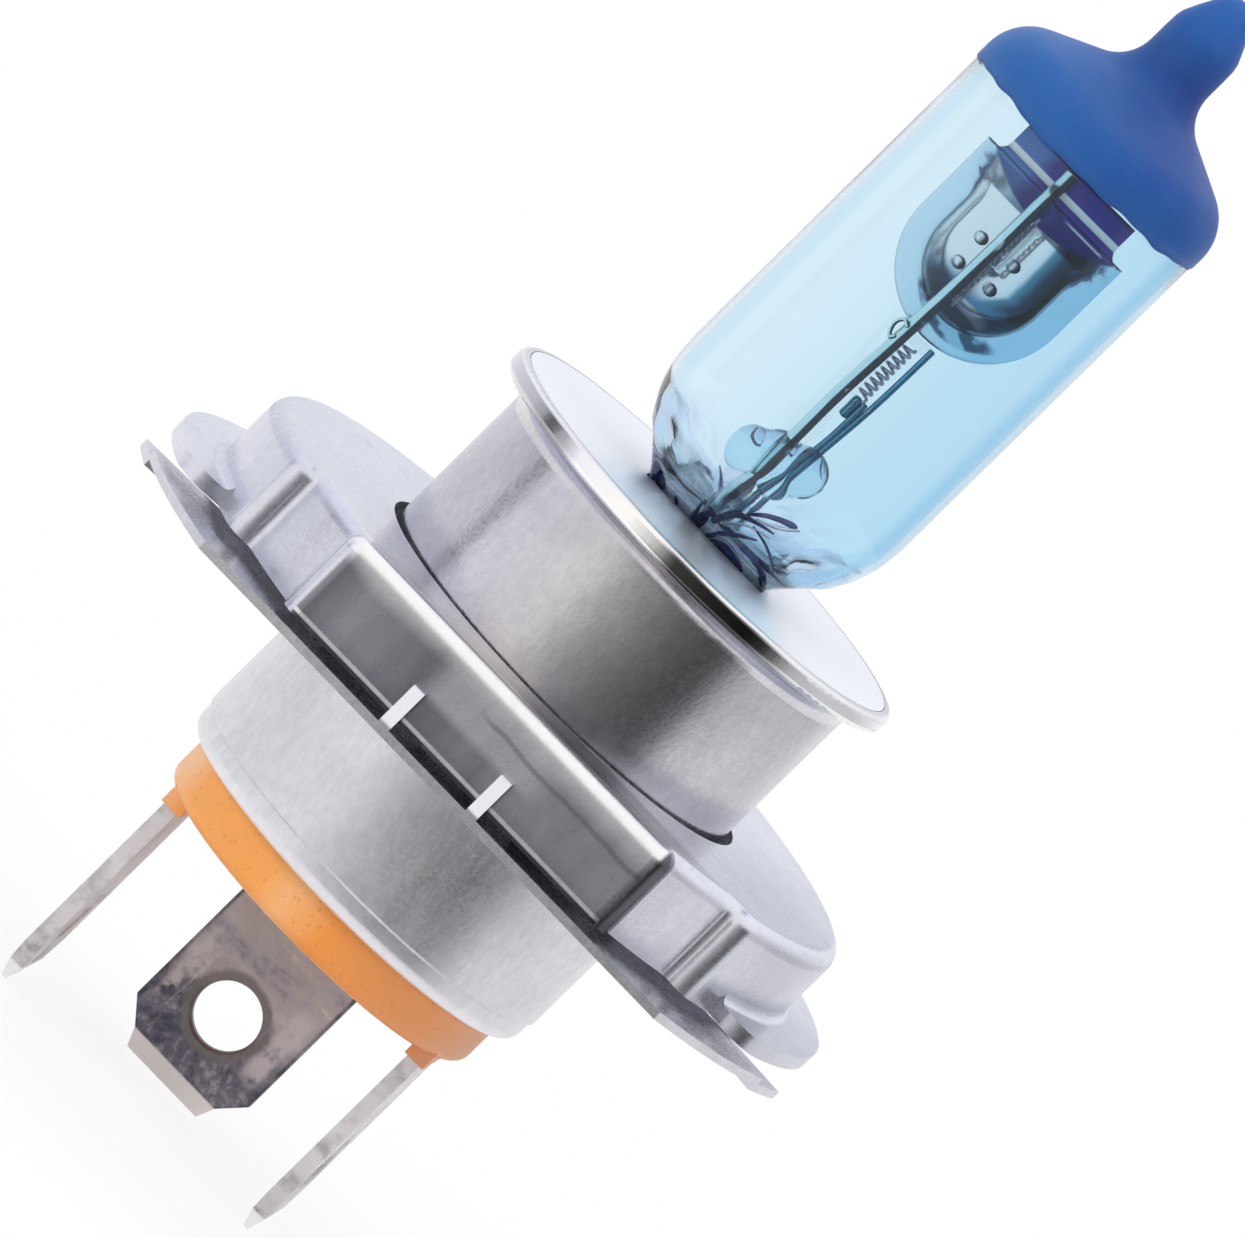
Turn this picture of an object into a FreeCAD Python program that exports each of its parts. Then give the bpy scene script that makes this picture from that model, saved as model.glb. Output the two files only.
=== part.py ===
import FreeCAD, Part
import math
import os
import Sketcher

# Double-filament halogen headlight bulb with the P43t-38 cap.
# Millimetres. +Z runs along the bulb's axis towards the glass tip, and z = 0 is the reference
# plane: the upper face of the flange's brim. The flange's flat is on the -Y side, and the single
# crosswise terminal on the +Y side.

SIZES = {
    # flange: one pressed sheet, a hat with a brim
    "brim_width": (2.5, "width of the flange's brim"),
    "hat_radius": (19.0, "outer radius of the flange's hat"),
    "hat_top": (4.2, "top of the hat above the reference plane"),
    "flange_sheet": (0.8, "sheet thickness of the flange"),
    "hat_corner_round": (0.95, "rounding of the hat's outward corners"),
    "notch_corner_round": (0.45, "rounding of the inward corners of the notches"),
    "hat_edge_round": (0.9, "rounding of the hat's top edge"),
    "brim_fillet": (0.5, "fillet between the brim and the hat"),
    "brim_corner_round": (1.6, "rounding of the brim's two ends"),
    "flat_depth": (3.4, "how far the flange's flat lies inside the hat's radius"),
    "flat_half_width": (10.9, "half the width of the flange's flat"),
    "notch_end_angle": (53.0, "angle from the flat's middle to the far end of a notch"),
    "notch_depth": (1.2, "depth of a notch below the hat's radius"),
    "brim_end_angle": (62.0, "angle from the flat's middle to the end of the brim"),
    "hat_hole_clearance": (0.45, "radial gap between the hat's hole and the sleeve"),
    "weld_lug_width": (2.4, "width of a lug that joins the flange to the sleeve"),
    "weld_lug_height": (2.6, "height of such a lug below the hat's top sheet"),
    "weld_clearance": (0.02, "gap between such a lug and the sleeve"),
    # sleeve
    "sleeve_radius": (11.0, "outer radius of the sleeve"),
    "sleeve_wall": (0.5, "wall of the sleeve"),
    "sleeve_bottom": (-1.3, "lower end of the sleeve, and upper face of the spring plate"),
    "lip_width": (1.5, "how far the sleeve's flared lip stands out"),
    "lip_top": (14.0, "top of the sleeve's lip"),
    "lip_height": (1.1, "height of the lip's polished edge"),
    "lip_round": (0.35, "rounding of the lip's two edges"),
    "flare_radius": (1.0, "radius of the flare below the lip"),
    "seat_width": (0.5, "width of the lip round the holder disc"),
    "seat_ledge": (0.7, "width of the ledge under the holder disc"),
    # holder disc and pinch clamp
    "disc_thickness": (0.5, "thickness of the holder disc"),
    "disc_clearance": (0.04, "radial gap round the holder disc"),
    "clamp_sheet": (0.5, "sheet thickness of the pinch clamp"),
    "clamp_height": (4.0, "height of the pinch clamp"),
    "clamp_gap": (0.05, "gap between the pinch and what holds it"),
    "clamp_seam": (1.2, "open seam of the pinch clamp"),
    # spring plate
    "plate_sheet": (0.45, "sheet thickness of the spring plate"),
    "plate_back_radius": (17.0, "radius of the spring plate behind its ears"),
    "ear_overhang": (0.8, "how far the spring plate's ears stand out past the brim"),
    "ear_end_angle": (77.0, "angle from the flat's middle to the end of an ear"),
    "ear_step_angle": (69.0, "angle from the flat's middle to the step in an ear"),
    "ear_lap_angle": (1.0, "angle by which an ear's lowered end laps the plate"),
    "ear_drop": (0.35, "how far the end of an ear is set down"),
    "plate_hole_clearance": (0.05, "radial gap between the spring plate and the cup's neck"),
    "tab_width": (0.7, "width of a crimp tab"),
    "tab_top": (1.1, "top of a crimp tab"),
    "tab_spacing": (5.9, "distance between the two crimp tabs"),
    "tab_shift": (-0.4, "how far the pair of crimp tabs sits off the middle"),
    "tab_clearance": (0.05, "gap between a crimp tab and the flange's flat"),
    # base cup
    "cup_shoulder_width": (0.58, "width of the shoulder between the cup's neck and its side"),
    "cup_wall": (0.5, "wall of the base cup"),
    "cup_step_height": (1.35, "height of the step above the cup's lower end"),
    "cup_height": (8.5, "height of the base cup below its shoulder"),
    "cup_neck_top": (2.5, "top of the cup's neck inside the sleeve"),
    "neck_clearance": (0.08, "radial gap between the cup's neck and the sleeve"),
    "cup_lip_gap": (0.07, "gap between the cup's rolled-in lower lip and the insulator"),
    "cup_step_depth": (0.15, "depth of the step near the cup's lower end"),
    "cup_shoulder_round": (0.3, "rounding of the cup's shoulder"),
    "cup_lower_round": (0.7, "rounding of the cup's lower end"),
    # insulator
    "insulator_step": (1.1, "how much narrower than the cup the insulator's lower end is"),
    "insulator_drop": (2.55, "height of the insulator below the cup"),
    "insulator_height": (6.3, "height of the insulator"),
    "insulator_fit": (0.04, "radial gap between the insulator and the cup"),
    "insulator_round": (0.7, "rounding of the insulator's lower edge"),
    "slot_clearance": (0.05, "gap round a terminal in the insulator"),
    "boss_width": (8.0, "length of the boss round a terminal"),
    "boss_depth": (1.2, "width of the boss round a terminal"),
    "boss_height": (0.7, "height of the boss round a terminal"),
    # terminals
    "blade_width": (7.8, "width of a terminal"),
    "blade_thickness": (0.8, "thickness of a terminal"),
    "blade_length": (12.5, "length of a terminal below the insulator"),
    "blade_shank_width": (5.0, "width of a terminal inside the insulator"),
    "blade_shank_rise": (0.9, "length of a terminal above the insulator"),
    "blade_inset": (1.5, "distance from the insulator's edge to a terminal's middle plane"),
    "blade_hole_radius": (1.75, "radius of the hole in a terminal"),
    "blade_hole_rise": (4.6, "distance from a terminal's lower end to its hole"),
    "blade_corner_width": (1.1, "width of a terminal's cut corner"),
    "blade_corner_height": (1.25, "height of a terminal's cut corner"),
    "blade_nose": (1.0, "length of a terminal's bevelled nose"),
    "blade_nose_taper": (0.4, "how much narrower each side of the nose is at its end"),
    "blade_bevel": (0.25, "depth of the bevel on each face of the nose"),
    "blade_hole_chamfer": (0.15, "chamfer of the hole in a terminal"),
    # glass envelope
    "glass_radius": (7.15, "outer radius of the glass"),
    "glass_wall": (0.9, "wall of the glass"),
    "taper_length": (6.2, "length of the glass taper above the pinch"),
    "shoulder_radius": (2.6, "radius of the dome's shoulder"),
    "tube_length": (19.9, "length of the straight glass tube"),
    "dome_slope": (26.0, "slope of the dome between shoulder and neck, in degrees"),
    "neck_radius": (2.4, "radius of the hollow between dome and pip"),
    "pip_radius": (1.85, "radius of the sealed-off pip"),
    "pip_length": (1.9, "length of the pip's straight part"),
    "pip_nose": (1.6, "height of the pip's tapered nose"),
    "pip_nose_radius": (1.0, "radius where the nose meets its round end"),
    "pip_end_height": (0.8, "height of the pip's round end"),
    "pinch_half_width": (3.9, "half the width of the pinch"),
    "pinch_half_depth": (1.75, "half the thickness of the pinch"),
    "pinch_length": (11.0, "length of the pinch"),
    "pinch_rib": (0.9, "width of the thick rib along each edge of the pinch"),
    "pinch_dish": (0.35, "depth of the flat between the ribs"),
    # paint on the tip
    "paint_drop": (0.7, "how far the paint runs down past the dome's shoulder"),
    "paint_thickness": (0.1, "thickness of the paint on the tip"),
    "paint_gap": (0.02, "gap between the paint and the glass"),
    # shield of the dipped beam
    "shield_sheet": (0.2, "sheet thickness of the shield"),
    "shield_half_width": (4.5, "half the width of the shield's rim"),
    "shield_gap": (0.7, "distance between the main beam's coil and the shield's rim"),
    "shield_height": (9.2, "height of the shield's rim"),
    "shield_bowl_half_width": (3.3, "half the width of the shield's bowl"),
    "bowl_lower_rim": (0.8, "width of the shield's rim below its bowl"),
    "bowl_upper_rim": (0.5, "width of the shield's rim above its bowl"),
    "shield_bowl_depth": (2.3, "depth of the shield's bowl"),
    "shield_bowl_round": (1.2, "rounding between the bowl's wall and floor"),
    "shield_neck_half_width": (3.55, "half the width of the shield's neck"),
    "shield_neck_length": (2.0, "height of the shield's neck above its rim"),
    "shield_shift": (0.5, "how far the shield sits off the axis, sideways"),
    "shield_front": (-0.3, "front face of the shield's rim"),
    # filaments, wires and the bead that bridges them
    "filament_wire": (0.08, "radius of the filament's wire"),
    "main_coil_radius": (0.3, "radius of the main beam's coil"),
    "main_coil_rise": (5.0, "height of the main beam's coil above the bead's middle"),
    "main_coil_height": (3.4, "height of the main beam's coil"),
    "main_coil_turns": (9.0, "turns of the main beam's coil"),
    "main_coil_across": (0.55, "sideways place of the main beam's coil"),
    "dipped_coil_radius": (0.35, "radius of the dipped beam's coil"),
    "dipped_coil_rise": (2.6, "height of the dipped beam's coil above the shield's lower end"),
    "dipped_coil_height": (4.7, "height of the dipped beam's coil"),
    "dipped_coil_turns": (13.0, "turns of the dipped beam's coil"),
    "dipped_coil_across": (0.35, "sideways place of the dipped beam's coil"),
    "dipped_coil_depth": (0.6, "place of the dipped beam's coil inside the shield"),
    "main_coil_depth": (-0.55, "place of the main beam's coil in front of the axis"),
    "crimp_radius": (0.25, "radius of the crimp below the main beam's coil"),
    "crimp_height": (1.2, "height of that crimp"),
    "upper_clamp_depth": (0.5, "depth of the clamp above the main beam's coil"),
    "upper_clamp_height": (0.55, "height of that clamp"),
    "filament_tail": (0.7, "length of a filament's straight tail"),
    "support_wire_radius": (0.36, "radius of the wire that carries the shield"),
    "support_wire_depth": (-1.05, "place of that wire in front of the axis"),
    "support_wire_inset": (0.1, "distance from that wire's top to the neck's edge"),
    "support_wire_across": (0.1, "sideways place of that wire's upper end"),
    "dipped_lead_across": (1.45, "sideways place of the dipped beam lead's upper end"),
    "dipped_lead_lap": (0.8, "how far that lead overlaps the shield's rim"),
    "dipped_lead_drop": (0.6, "how far below the shield's rim that lead turns upright"),
    "wire_bend_rise": (1.6, "height above the pinch where the inner wires bend"),
    "wire_straight_rise": (2.2, "height above the bead where the two leads turn straight up"),
    "support_bend_across": (-0.5, "sideways place of the shield's wire at its bend"),
    "support_joggle_drop": (0.4, "how far below the shield's top edge its wire steps back"),
    "support_joggle_rise": (0.6, "how far above that edge the wire meets the neck"),
    "main_bend_across": (0.4, "sideways place of the main beam lead at its bend"),
    "main_bend_depth": (-0.75, "place of that bend in front of the axis"),
    "dipped_bend_across": (0.85, "sideways place of the dipped beam lead at its bend"),
    "dipped_bend_depth": (-0.3, "place of that bend in front of the axis"),
    "dipped_straight_across": (1.36, "sideways place of that lead above the bead"),
    "weld_gap": (0.01, "gap left between two pieces that are welded together"),
    "lead_exit": (1.4, "straight length of a wire where it enters or leaves the glass"),
    "lead_rest": (0.1, "gap between an outer lead's end and the insulator"),
    "lead_radius": (0.17, "radius of the inner lead wires"),
    "bead_drop": (1.3, "distance from the glass bead's middle to the end of the glass taper"),
    "bead_radius": (1.4, "radius of the glass bead's middle drop"),
    "bead_side_radius": (1.2, "radius of the drop on the earth side"),
    "bead_across": (0.1, "sideways place of the middle drop"),
    "bead_spread": (1.07, "distance between neighbouring drops"),
    "bead_tilt": (0.5, "how much higher each drop stands than the one before"),
    "bead_depth": (-0.7, "place of the glass bead in front of the axis"),
    "bead_clearance": (0.02, "gap between a wire and the glass round it"),
    "foil_width": (1.0, "width of a sealing foil"),
    "foil_thickness": (0.06, "thickness of a sealing foil"),
    "foil_inset": (2.8, "distance from the top of the pinch to the sealing foils"),
    "foil_length": (5.8, "length of the sealing foils"),
    "foil_spacing": (1.5, "distance between neighbouring foils"),
    "foil_lap": (0.8, "how far a wire overlaps a foil"),
    "outer_lead_radius": (0.3, "radius of the outer lead wires"),
}


class Size:
    """A number together with the spreadsheet formula that gives it."""

    def __init__(self, value, formula):
        self.value = value
        self.formula = formula

    @staticmethod
    def of(item):
        return item if isinstance(item, Size) else Size(float(item), repr(float(item)))

    def joined(self, sign, other, value):
        return Size(value, "(%s %s %s)" % (self.formula, sign, other.formula))

    def __add__(self, other):
        other = Size.of(other)
        return self.joined("+", other, self.value + other.value)

    def __radd__(self, other):
        return Size.of(other) + self

    def __sub__(self, other):
        other = Size.of(other)
        return self.joined("-", other, self.value - other.value)

    def __rsub__(self, other):
        return Size.of(other) - self

    def __mul__(self, other):
        other = Size.of(other)
        return self.joined("*", other, self.value * other.value)

    def __rmul__(self, other):
        return Size.of(other) * self

    def __truediv__(self, other):
        other = Size.of(other)
        return self.joined("/", other, self.value / other.value)

    def __neg__(self):
        return Size.of(0) - self

    def sine(self):
        return Size(math.sin(math.radians(self.value)), "sin(%s)" % self.formula)

    def cosine(self):
        return Size(math.cos(math.radians(self.value)), "cos(%s)" % self.formula)

    def root(self):
        return Size(math.sqrt(self.value), "sqrt(%s)" % self.formula)


class Sizes:
    """Every size by its name. A row of the sheet holds its meaning and its value or formula."""

    def __init__(self, sheet):
        self.sheet = sheet
        self.rows = 0
        for alias, (value, meaning) in SIZES.items():
            self.add_row(alias, value, repr(value), meaning)

    def add_row(self, alias, value, content, meaning):
        self.rows += 1
        self.sheet.set("A%d" % self.rows, meaning)
        self.sheet.set("B%d" % self.rows, content)
        self.sheet.setAlias("B%d" % self.rows, alias)
        setattr(self, alias, Size(value, "Sizes.%s" % alias))

    def derive(self, alias, whole, meaning):
        """A size that follows from others."""
        self.add_row(alias, whole.value, "=" + whole.formula.replace("Sizes.", ""), meaning)


document = FreeCAD.newDocument("headlight_bulb")
sheet = document.addObject("Spreadsheet::Sheet", "Sizes")
size = Sizes(sheet)

size.derive("brim_radius", size.hat_radius + size.brim_width, "outer radius of the flange's brim")
size.derive("flat_distance", size.hat_radius - size.flat_depth, "from the axis to the flange's flat")
size.derive("ear_radius", size.brim_radius + size.ear_overhang, "outer radius of the ears")
size.derive("hat_hole_radius", size.sleeve_radius + size.hat_hole_clearance, "radius of the hat's hole")
size.derive("lip_radius", size.sleeve_radius + size.lip_width, "outer radius of the sleeve's lip")
size.derive("cup_neck_radius", size.sleeve_radius - size.sleeve_wall - size.neck_clearance,
            "outer radius of the cup's neck")
size.derive("cup_radius", size.cup_neck_radius + size.cup_shoulder_width, "outer radius of the cup")
size.derive("cup_bottom", size.sleeve_bottom - size.plate_sheet - size.cup_height, "lower end of the cup")
size.derive("cup_step", size.cup_bottom + size.cup_step_height, "height of the cup's step")
size.derive("insulator_radius", size.cup_radius - size.insulator_step, "radius below the cup")
size.derive("cup_lip_radius", size.insulator_radius + size.cup_lip_gap, "inner radius of the cup's lip")
size.derive("insulator_bottom", size.cup_bottom - size.insulator_drop, "insulator's lower face")
size.derive("insulator_top", size.insulator_bottom + size.insulator_height, "insulator's upper face")
size.derive("blade_offset", size.insulator_radius - size.blade_inset, "from the axis to a terminal")
size.derive("blade_end", size.insulator_bottom - size.blade_length, "lower end of the terminals")
size.derive("blade_shank_top", size.insulator_top + size.blade_shank_rise, "terminals' upper end")
size.derive("blade_hole_height", size.blade_end + size.blade_hole_rise, "height of a terminal's hole")
size.derive("pinch_top", size.lip_top, "height where the pinch begins")
size.derive("pinch_bottom", size.pinch_top - size.pinch_length, "lower end of the pinch")
size.derive("foil_top", size.pinch_top - size.foil_inset, "upper end of the foils")
size.derive("foil_bottom", size.foil_top - size.foil_length, "lower end of the foils")
size.derive("glass_start", size.pinch_top + size.taper_length, "height where the taper ends")
size.derive("shoulder_height", size.glass_start + size.tube_length, "height where the dome begins")
size.derive("paint_start", size.shoulder_height - size.paint_drop, "lower edge of the paint")
size.derive("bead_height", size.glass_start - size.bead_drop, "height of the bead's middle")
size.derive("main_coil_bottom", size.bead_height + size.main_coil_rise, "main coil's lower end")
size.derive("shield_bottom", size.main_coil_bottom + size.main_coil_height + size.shield_gap,
            "lower end of the shield's rim")
size.derive("shield_top", size.shield_bottom + size.shield_height, "top of the shield's rim")
size.derive("shield_bowl_bottom", size.shield_bottom + size.bowl_lower_rim, "bowl's lower end")
size.derive("shield_bowl_top", size.shield_top - size.bowl_upper_rim, "top of the bowl")
size.derive("shield_neck_top", size.shield_top + size.shield_neck_length, "top of the shield's neck")
size.derive("support_wire_top", size.shield_neck_top - size.support_wire_inset, "top of its wire")
size.derive("dipped_coil_bottom", size.shield_bottom + size.dipped_coil_rise, "dipped coil's lower end")
document.recompute()

PIECES = []


# ---------------------------------------------------------------- drawing helpers

def new_body(label):
    body = document.addObject("PartDesign::Body", label)
    body.Label = label
    PIECES.append(body)
    return body


def origin_plane(body, role):
    return [item for item in body.Origin.OriginFeatures if item.Role == role][0]


def new_sketch(body, name, plane, height=None):
    """A sketch on one of the body's own planes, lifted off it by height."""
    sketch = body.newObject("Sketcher::SketchObject", name)
    sketch.AttachmentSupport = [(origin_plane(body, plane), "")]
    sketch.MapMode = "FlatFace"
    if height is not None:
        sketch.setExpression("AttachmentOffset.Base.z", Size.of(height).formula)
    return sketch


def fix_point(sketch, edge, end, x, y):
    for kind, place in (("DistanceX", Size.of(x)), ("DistanceY", Size.of(y))):
        index = sketch.addConstraint(Sketcher.Constraint(kind, -1, 1, edge, end, place.value))
        sketch.setExpression("Constraints[%d]" % index, place.formula)


def bind_radius(sketch, edge, radius):
    index = sketch.addConstraint(Sketcher.Constraint("Radius", edge, radius.value))
    sketch.setExpression("Constraints[%d]" % index, radius.formula)


def arc_between(begin, end, radius, turn):
    """The shorter arc from begin to end; turn is 1 for anticlockwise and -1 for clockwise."""
    chord = end - begin
    middle = (begin + end) * 0.5
    left = FreeCAD.Vector(-chord.y, chord.x, 0).normalize()
    reach = math.sqrt(max(radius ** 2 - (chord.Length / 2) ** 2, 0))
    centre = middle + left * (turn * reach)
    first, last = (begin, end) if turn > 0 else (end, begin)
    angles = [math.atan2(p.y - centre.y, p.x - centre.x) for p in (first, last)]
    if angles[1] <= angles[0]:
        angles[1] += 2 * math.pi
    circle = Part.Circle(centre, FreeCAD.Vector(0, 0, 1), radius)
    return Part.ArcOfCircle(circle, angles[0], angles[1])


def outline(sketch, steps):
    """A closed outline. A step is (x, y) for a line to that point, or (x, y, radius, turn)."""
    points = [FreeCAD.Vector(Size.of(s[0]).value, Size.of(s[1]).value, 0) for s in steps]
    ends = []
    for number, step in enumerate(steps):
        begin, end = points[number - 1], points[number]
        if len(step) == 2:
            edge = sketch.addGeometry(Part.LineSegment(begin, end), False)
            ends.append((edge, 1, 2))
            continue
        radius, turn = Size.of(step[2]), step[3]
        edge = sketch.addGeometry(arc_between(begin, end, radius.value, turn), False)
        bind_radius(sketch, edge, radius)
        ends.append((edge, 1, 2) if turn > 0 else (edge, 2, 1))
    for number, step in enumerate(steps):
        edge, _, last = ends[number]
        following, first, _ = ends[(number + 1) % len(steps)]
        sketch.addConstraint(Sketcher.Constraint("Coincident", edge, last, following, first))
        fix_point(sketch, edge, last, step[0], step[1])


def circle(sketch, x, y, radius):
    x, y, radius = Size.of(x), Size.of(y), Size.of(radius)
    centre = FreeCAD.Vector(x.value, y.value, 0)
    edge = sketch.addGeometry(Part.Circle(centre, FreeCAD.Vector(0, 0, 1), radius.value), False)
    fix_point(sketch, edge, 3, x, y)
    bind_radius(sketch, edge, radius)


def rectangle(sketch, x0, y0, x1, y1):
    outline(sketch, [(x0, y0), (x1, y0), (x1, y1), (x0, y1)])


def extrude(body, kind, sketch, name, length, reverse=False, both_ways=False):
    feature = body.newObject("PartDesign::" + kind, name)
    feature.Profile = sketch
    feature.setExpression("Length", Size.of(length).formula)
    feature.Reversed = reverse
    if both_ways:
        feature.Midplane = True
    return feature


def pad(body, sketch, name, length, reverse=False, both_ways=False):
    return extrude(body, "Pad", sketch, name, length, reverse, both_ways)


def pocket(body, sketch, name, length, reverse=False, both_ways=False):
    before = body.Shape.Volume
    feature = extrude(body, "Pocket", sketch, name, length, reverse, both_ways)
    document.recompute()
    if not 0 < body.Shape.Volume < before - 1e-6:
        raise RuntimeError("%s doesn't cut %s as it should" % (name, body.Label))
    return feature


def revolve(body, sketch, name):
    feature = body.newObject("PartDesign::Revolution", name)
    feature.Profile = sketch
    feature.ReferenceAxis = (sketch, ["V_Axis"])
    feature.Angle = 360
    document.recompute()


def dress(body, kind, name, amount, chosen):
    """A fillet or chamfer on every edge of the body's tip that chosen accepts."""
    document.recompute()
    base = body.Tip
    names = ["Edge%d" % (n + 1) for n, edge in enumerate(base.Shape.Edges) if chosen(edge)]
    if not names:
        raise RuntimeError("%s finds no edge on %s" % (name, body.Label))
    feature = body.newObject("PartDesign::" + kind, name)
    feature.Base = (base, names)
    feature.setExpression("Radius" if kind == "Fillet" else "Size", Size.of(amount).formula)
    document.recompute()
    if not body.Shape.isValid():
        raise RuntimeError("%s leaves %s broken" % (name, body.Label))


def at_height(edge, height):
    box = edge.BoundBox
    return abs(box.ZMin - height) < 1e-4 and abs(box.ZMax - height) < 1e-4


def polar(radius, angle):
    """The point at that radius, its angle counted from the flat's side (-Y) towards +X."""
    return radius * angle.sine(), -(radius * angle.cosine())


def straight_runs(points, radius):
    """Solid round wire along straight runs, with a ball at each bend."""
    pieces = []
    for begin, end in zip(points, points[1:]):
        run = end - begin
        pieces.append(Part.makeCylinder(radius, run.Length, begin, run))
    for point in points[1:-1]:
        pieces.append(Part.makeSphere(radius, point))
    wire = pieces[0].fuse(pieces[1:]) if len(pieces) > 1 else pieces[0]
    return wire.removeSplitter()


def new_feature(label, shape):
    feature = document.addObject("Part::Feature", label)
    feature.Label = label
    feature.Shape = shape
    feature.Placement = FreeCAD.Placement()
    PIECES.append(feature)
    return feature


# ---------------------------------------------------------------- flange

def hat_outline(sketch, inset):
    """The hat's plan: a flat, a shallow notch at each end of it, and a round back."""
    flat = size.flat_distance - inset
    half = size.flat_half_width - inset
    notch = size.hat_radius - size.notch_depth - inset
    back = size.hat_radius - inset
    wing = (notch * notch - half * half).root()
    end_angle = size.notch_end_angle + inset * math.degrees(1) / size.hat_radius
    step_x, step_y = polar(notch, end_angle)
    out_x, out_y = polar(back, end_angle)
    outline(sketch, [
        (-half, -flat),
        (half, -flat),
        (half, -wing),
        (step_x, step_y, notch, 1),
        (out_x, out_y),
        (0, back, back, 1),
        (-out_x, out_y, back, 1),
        (-step_x, step_y),
        (-half, -wing, notch, 1),
    ])


def make_mounting_flange():
    body = new_body("mounting_flange")
    sheet_metal = size.flange_sheet
    rim = new_sketch(body, "hat_plan", "XY_Plane", -sheet_metal)
    hat_outline(rim, Size.of(0))
    pad(body, rim, "hat", size.hat_top + sheet_metal)
    dress(body, "Fillet", "hat_corners", size.hat_corner_round, is_hat_corner)
    dress(body, "Fillet", "notch_corners", size.notch_corner_round,
          lambda edge: is_upright_at(edge, size.hat_radius - size.notch_depth))
    dress(body, "Fillet", "hat_edge", size.hat_edge_round,
          lambda edge: at_height(edge, size.hat_top.value))

    # the brim runs round the back, from one notch to the other
    brim = new_sketch(body, "brim_plan", "XY_Plane", -sheet_metal)
    inner = size.hat_radius - sheet_metal / 2
    outer = size.brim_radius
    inner_x, inner_y = polar(inner, size.brim_end_angle)
    outer_x, outer_y = polar(outer, size.brim_end_angle)
    outline(brim, [
        (outer_x, outer_y),
        (0, outer, outer, 1),
        (-outer_x, outer_y, outer, 1),
        (-inner_x, inner_y),
        (0, inner, inner, -1),
        (inner_x, inner_y, inner, -1),
    ])
    pad(body, brim, "brim", sheet_metal)
    dress(body, "Fillet", "brim_root", size.brim_fillet,
          lambda edge: at_height(edge, 0) and abs(radius_of(edge) - size.hat_radius.value) < 1e-4)
    dress(body, "Fillet", "brim_corner", size.brim_corner_round,
          lambda edge: is_upright_at(edge, size.brim_radius))

    hole = new_sketch(body, "hat_hole_plan", "XY_Plane", size.hat_top)
    circle(hole, 0, 0, size.hat_hole_radius)
    document.recompute()
    pocket(body, hole, "hat_hole", sheet_metal * 2)
    hollow = new_sketch(body, "hat_hollow_plan", "XY_Plane", -sheet_metal)
    hat_outline(hollow, sheet_metal)
    document.recompute()
    pocket(body, hollow, "hat_hollow", size.hat_top, reverse=True)

    # three lugs turned down from the hole's edge, welded to the sleeve
    lug = new_sketch(body, "weld_lug_plan", "XY_Plane", size.hat_top - sheet_metal - size.weld_lug_height)
    rectangle(lug, -size.weld_lug_width / 2, size.sleeve_radius + size.weld_clearance,
              size.weld_lug_width / 2, size.hat_hole_radius + sheet_metal)
    lug_pad = pad(body, lug, "weld_lug", size.weld_lug_height + sheet_metal / 2)
    document.recompute()
    lugs = body.newObject("PartDesign::PolarPattern", "weld_lugs")
    lugs.Originals = [lug_pad]
    lugs.Axis = (lug, ["N_Axis"])
    lugs.Angle = 360
    lugs.Occurrences = 3
    body.Tip = lugs
    document.recompute()


def radius_of(edge):
    return edge.Curve.Radius if isinstance(edge.Curve, Part.Circle) else 0.0


def is_upright(edge):
    return edge.BoundBox.XLength < 1e-6 and edge.BoundBox.ZLength > size.flange_sheet.value / 2


def is_upright_at(edge, radius):
    """An upright edge at that distance from the axis."""
    reach = math.hypot(edge.BoundBox.XMax, edge.BoundBox.YMax)
    return is_upright(edge) and abs(reach - radius.value) < 1e-3


def is_hat_corner(edge):
    """The ends of the flat and the far ends of the two notches."""
    on_flat = is_upright(edge) and abs(edge.BoundBox.YMin + size.flat_distance.value) < 1e-3
    off_middle = abs(edge.BoundBox.XMax) > 1e-3
    return on_flat or (off_middle and is_upright_at(edge, size.hat_radius))


# ---------------------------------------------------------------- spring plate

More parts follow.
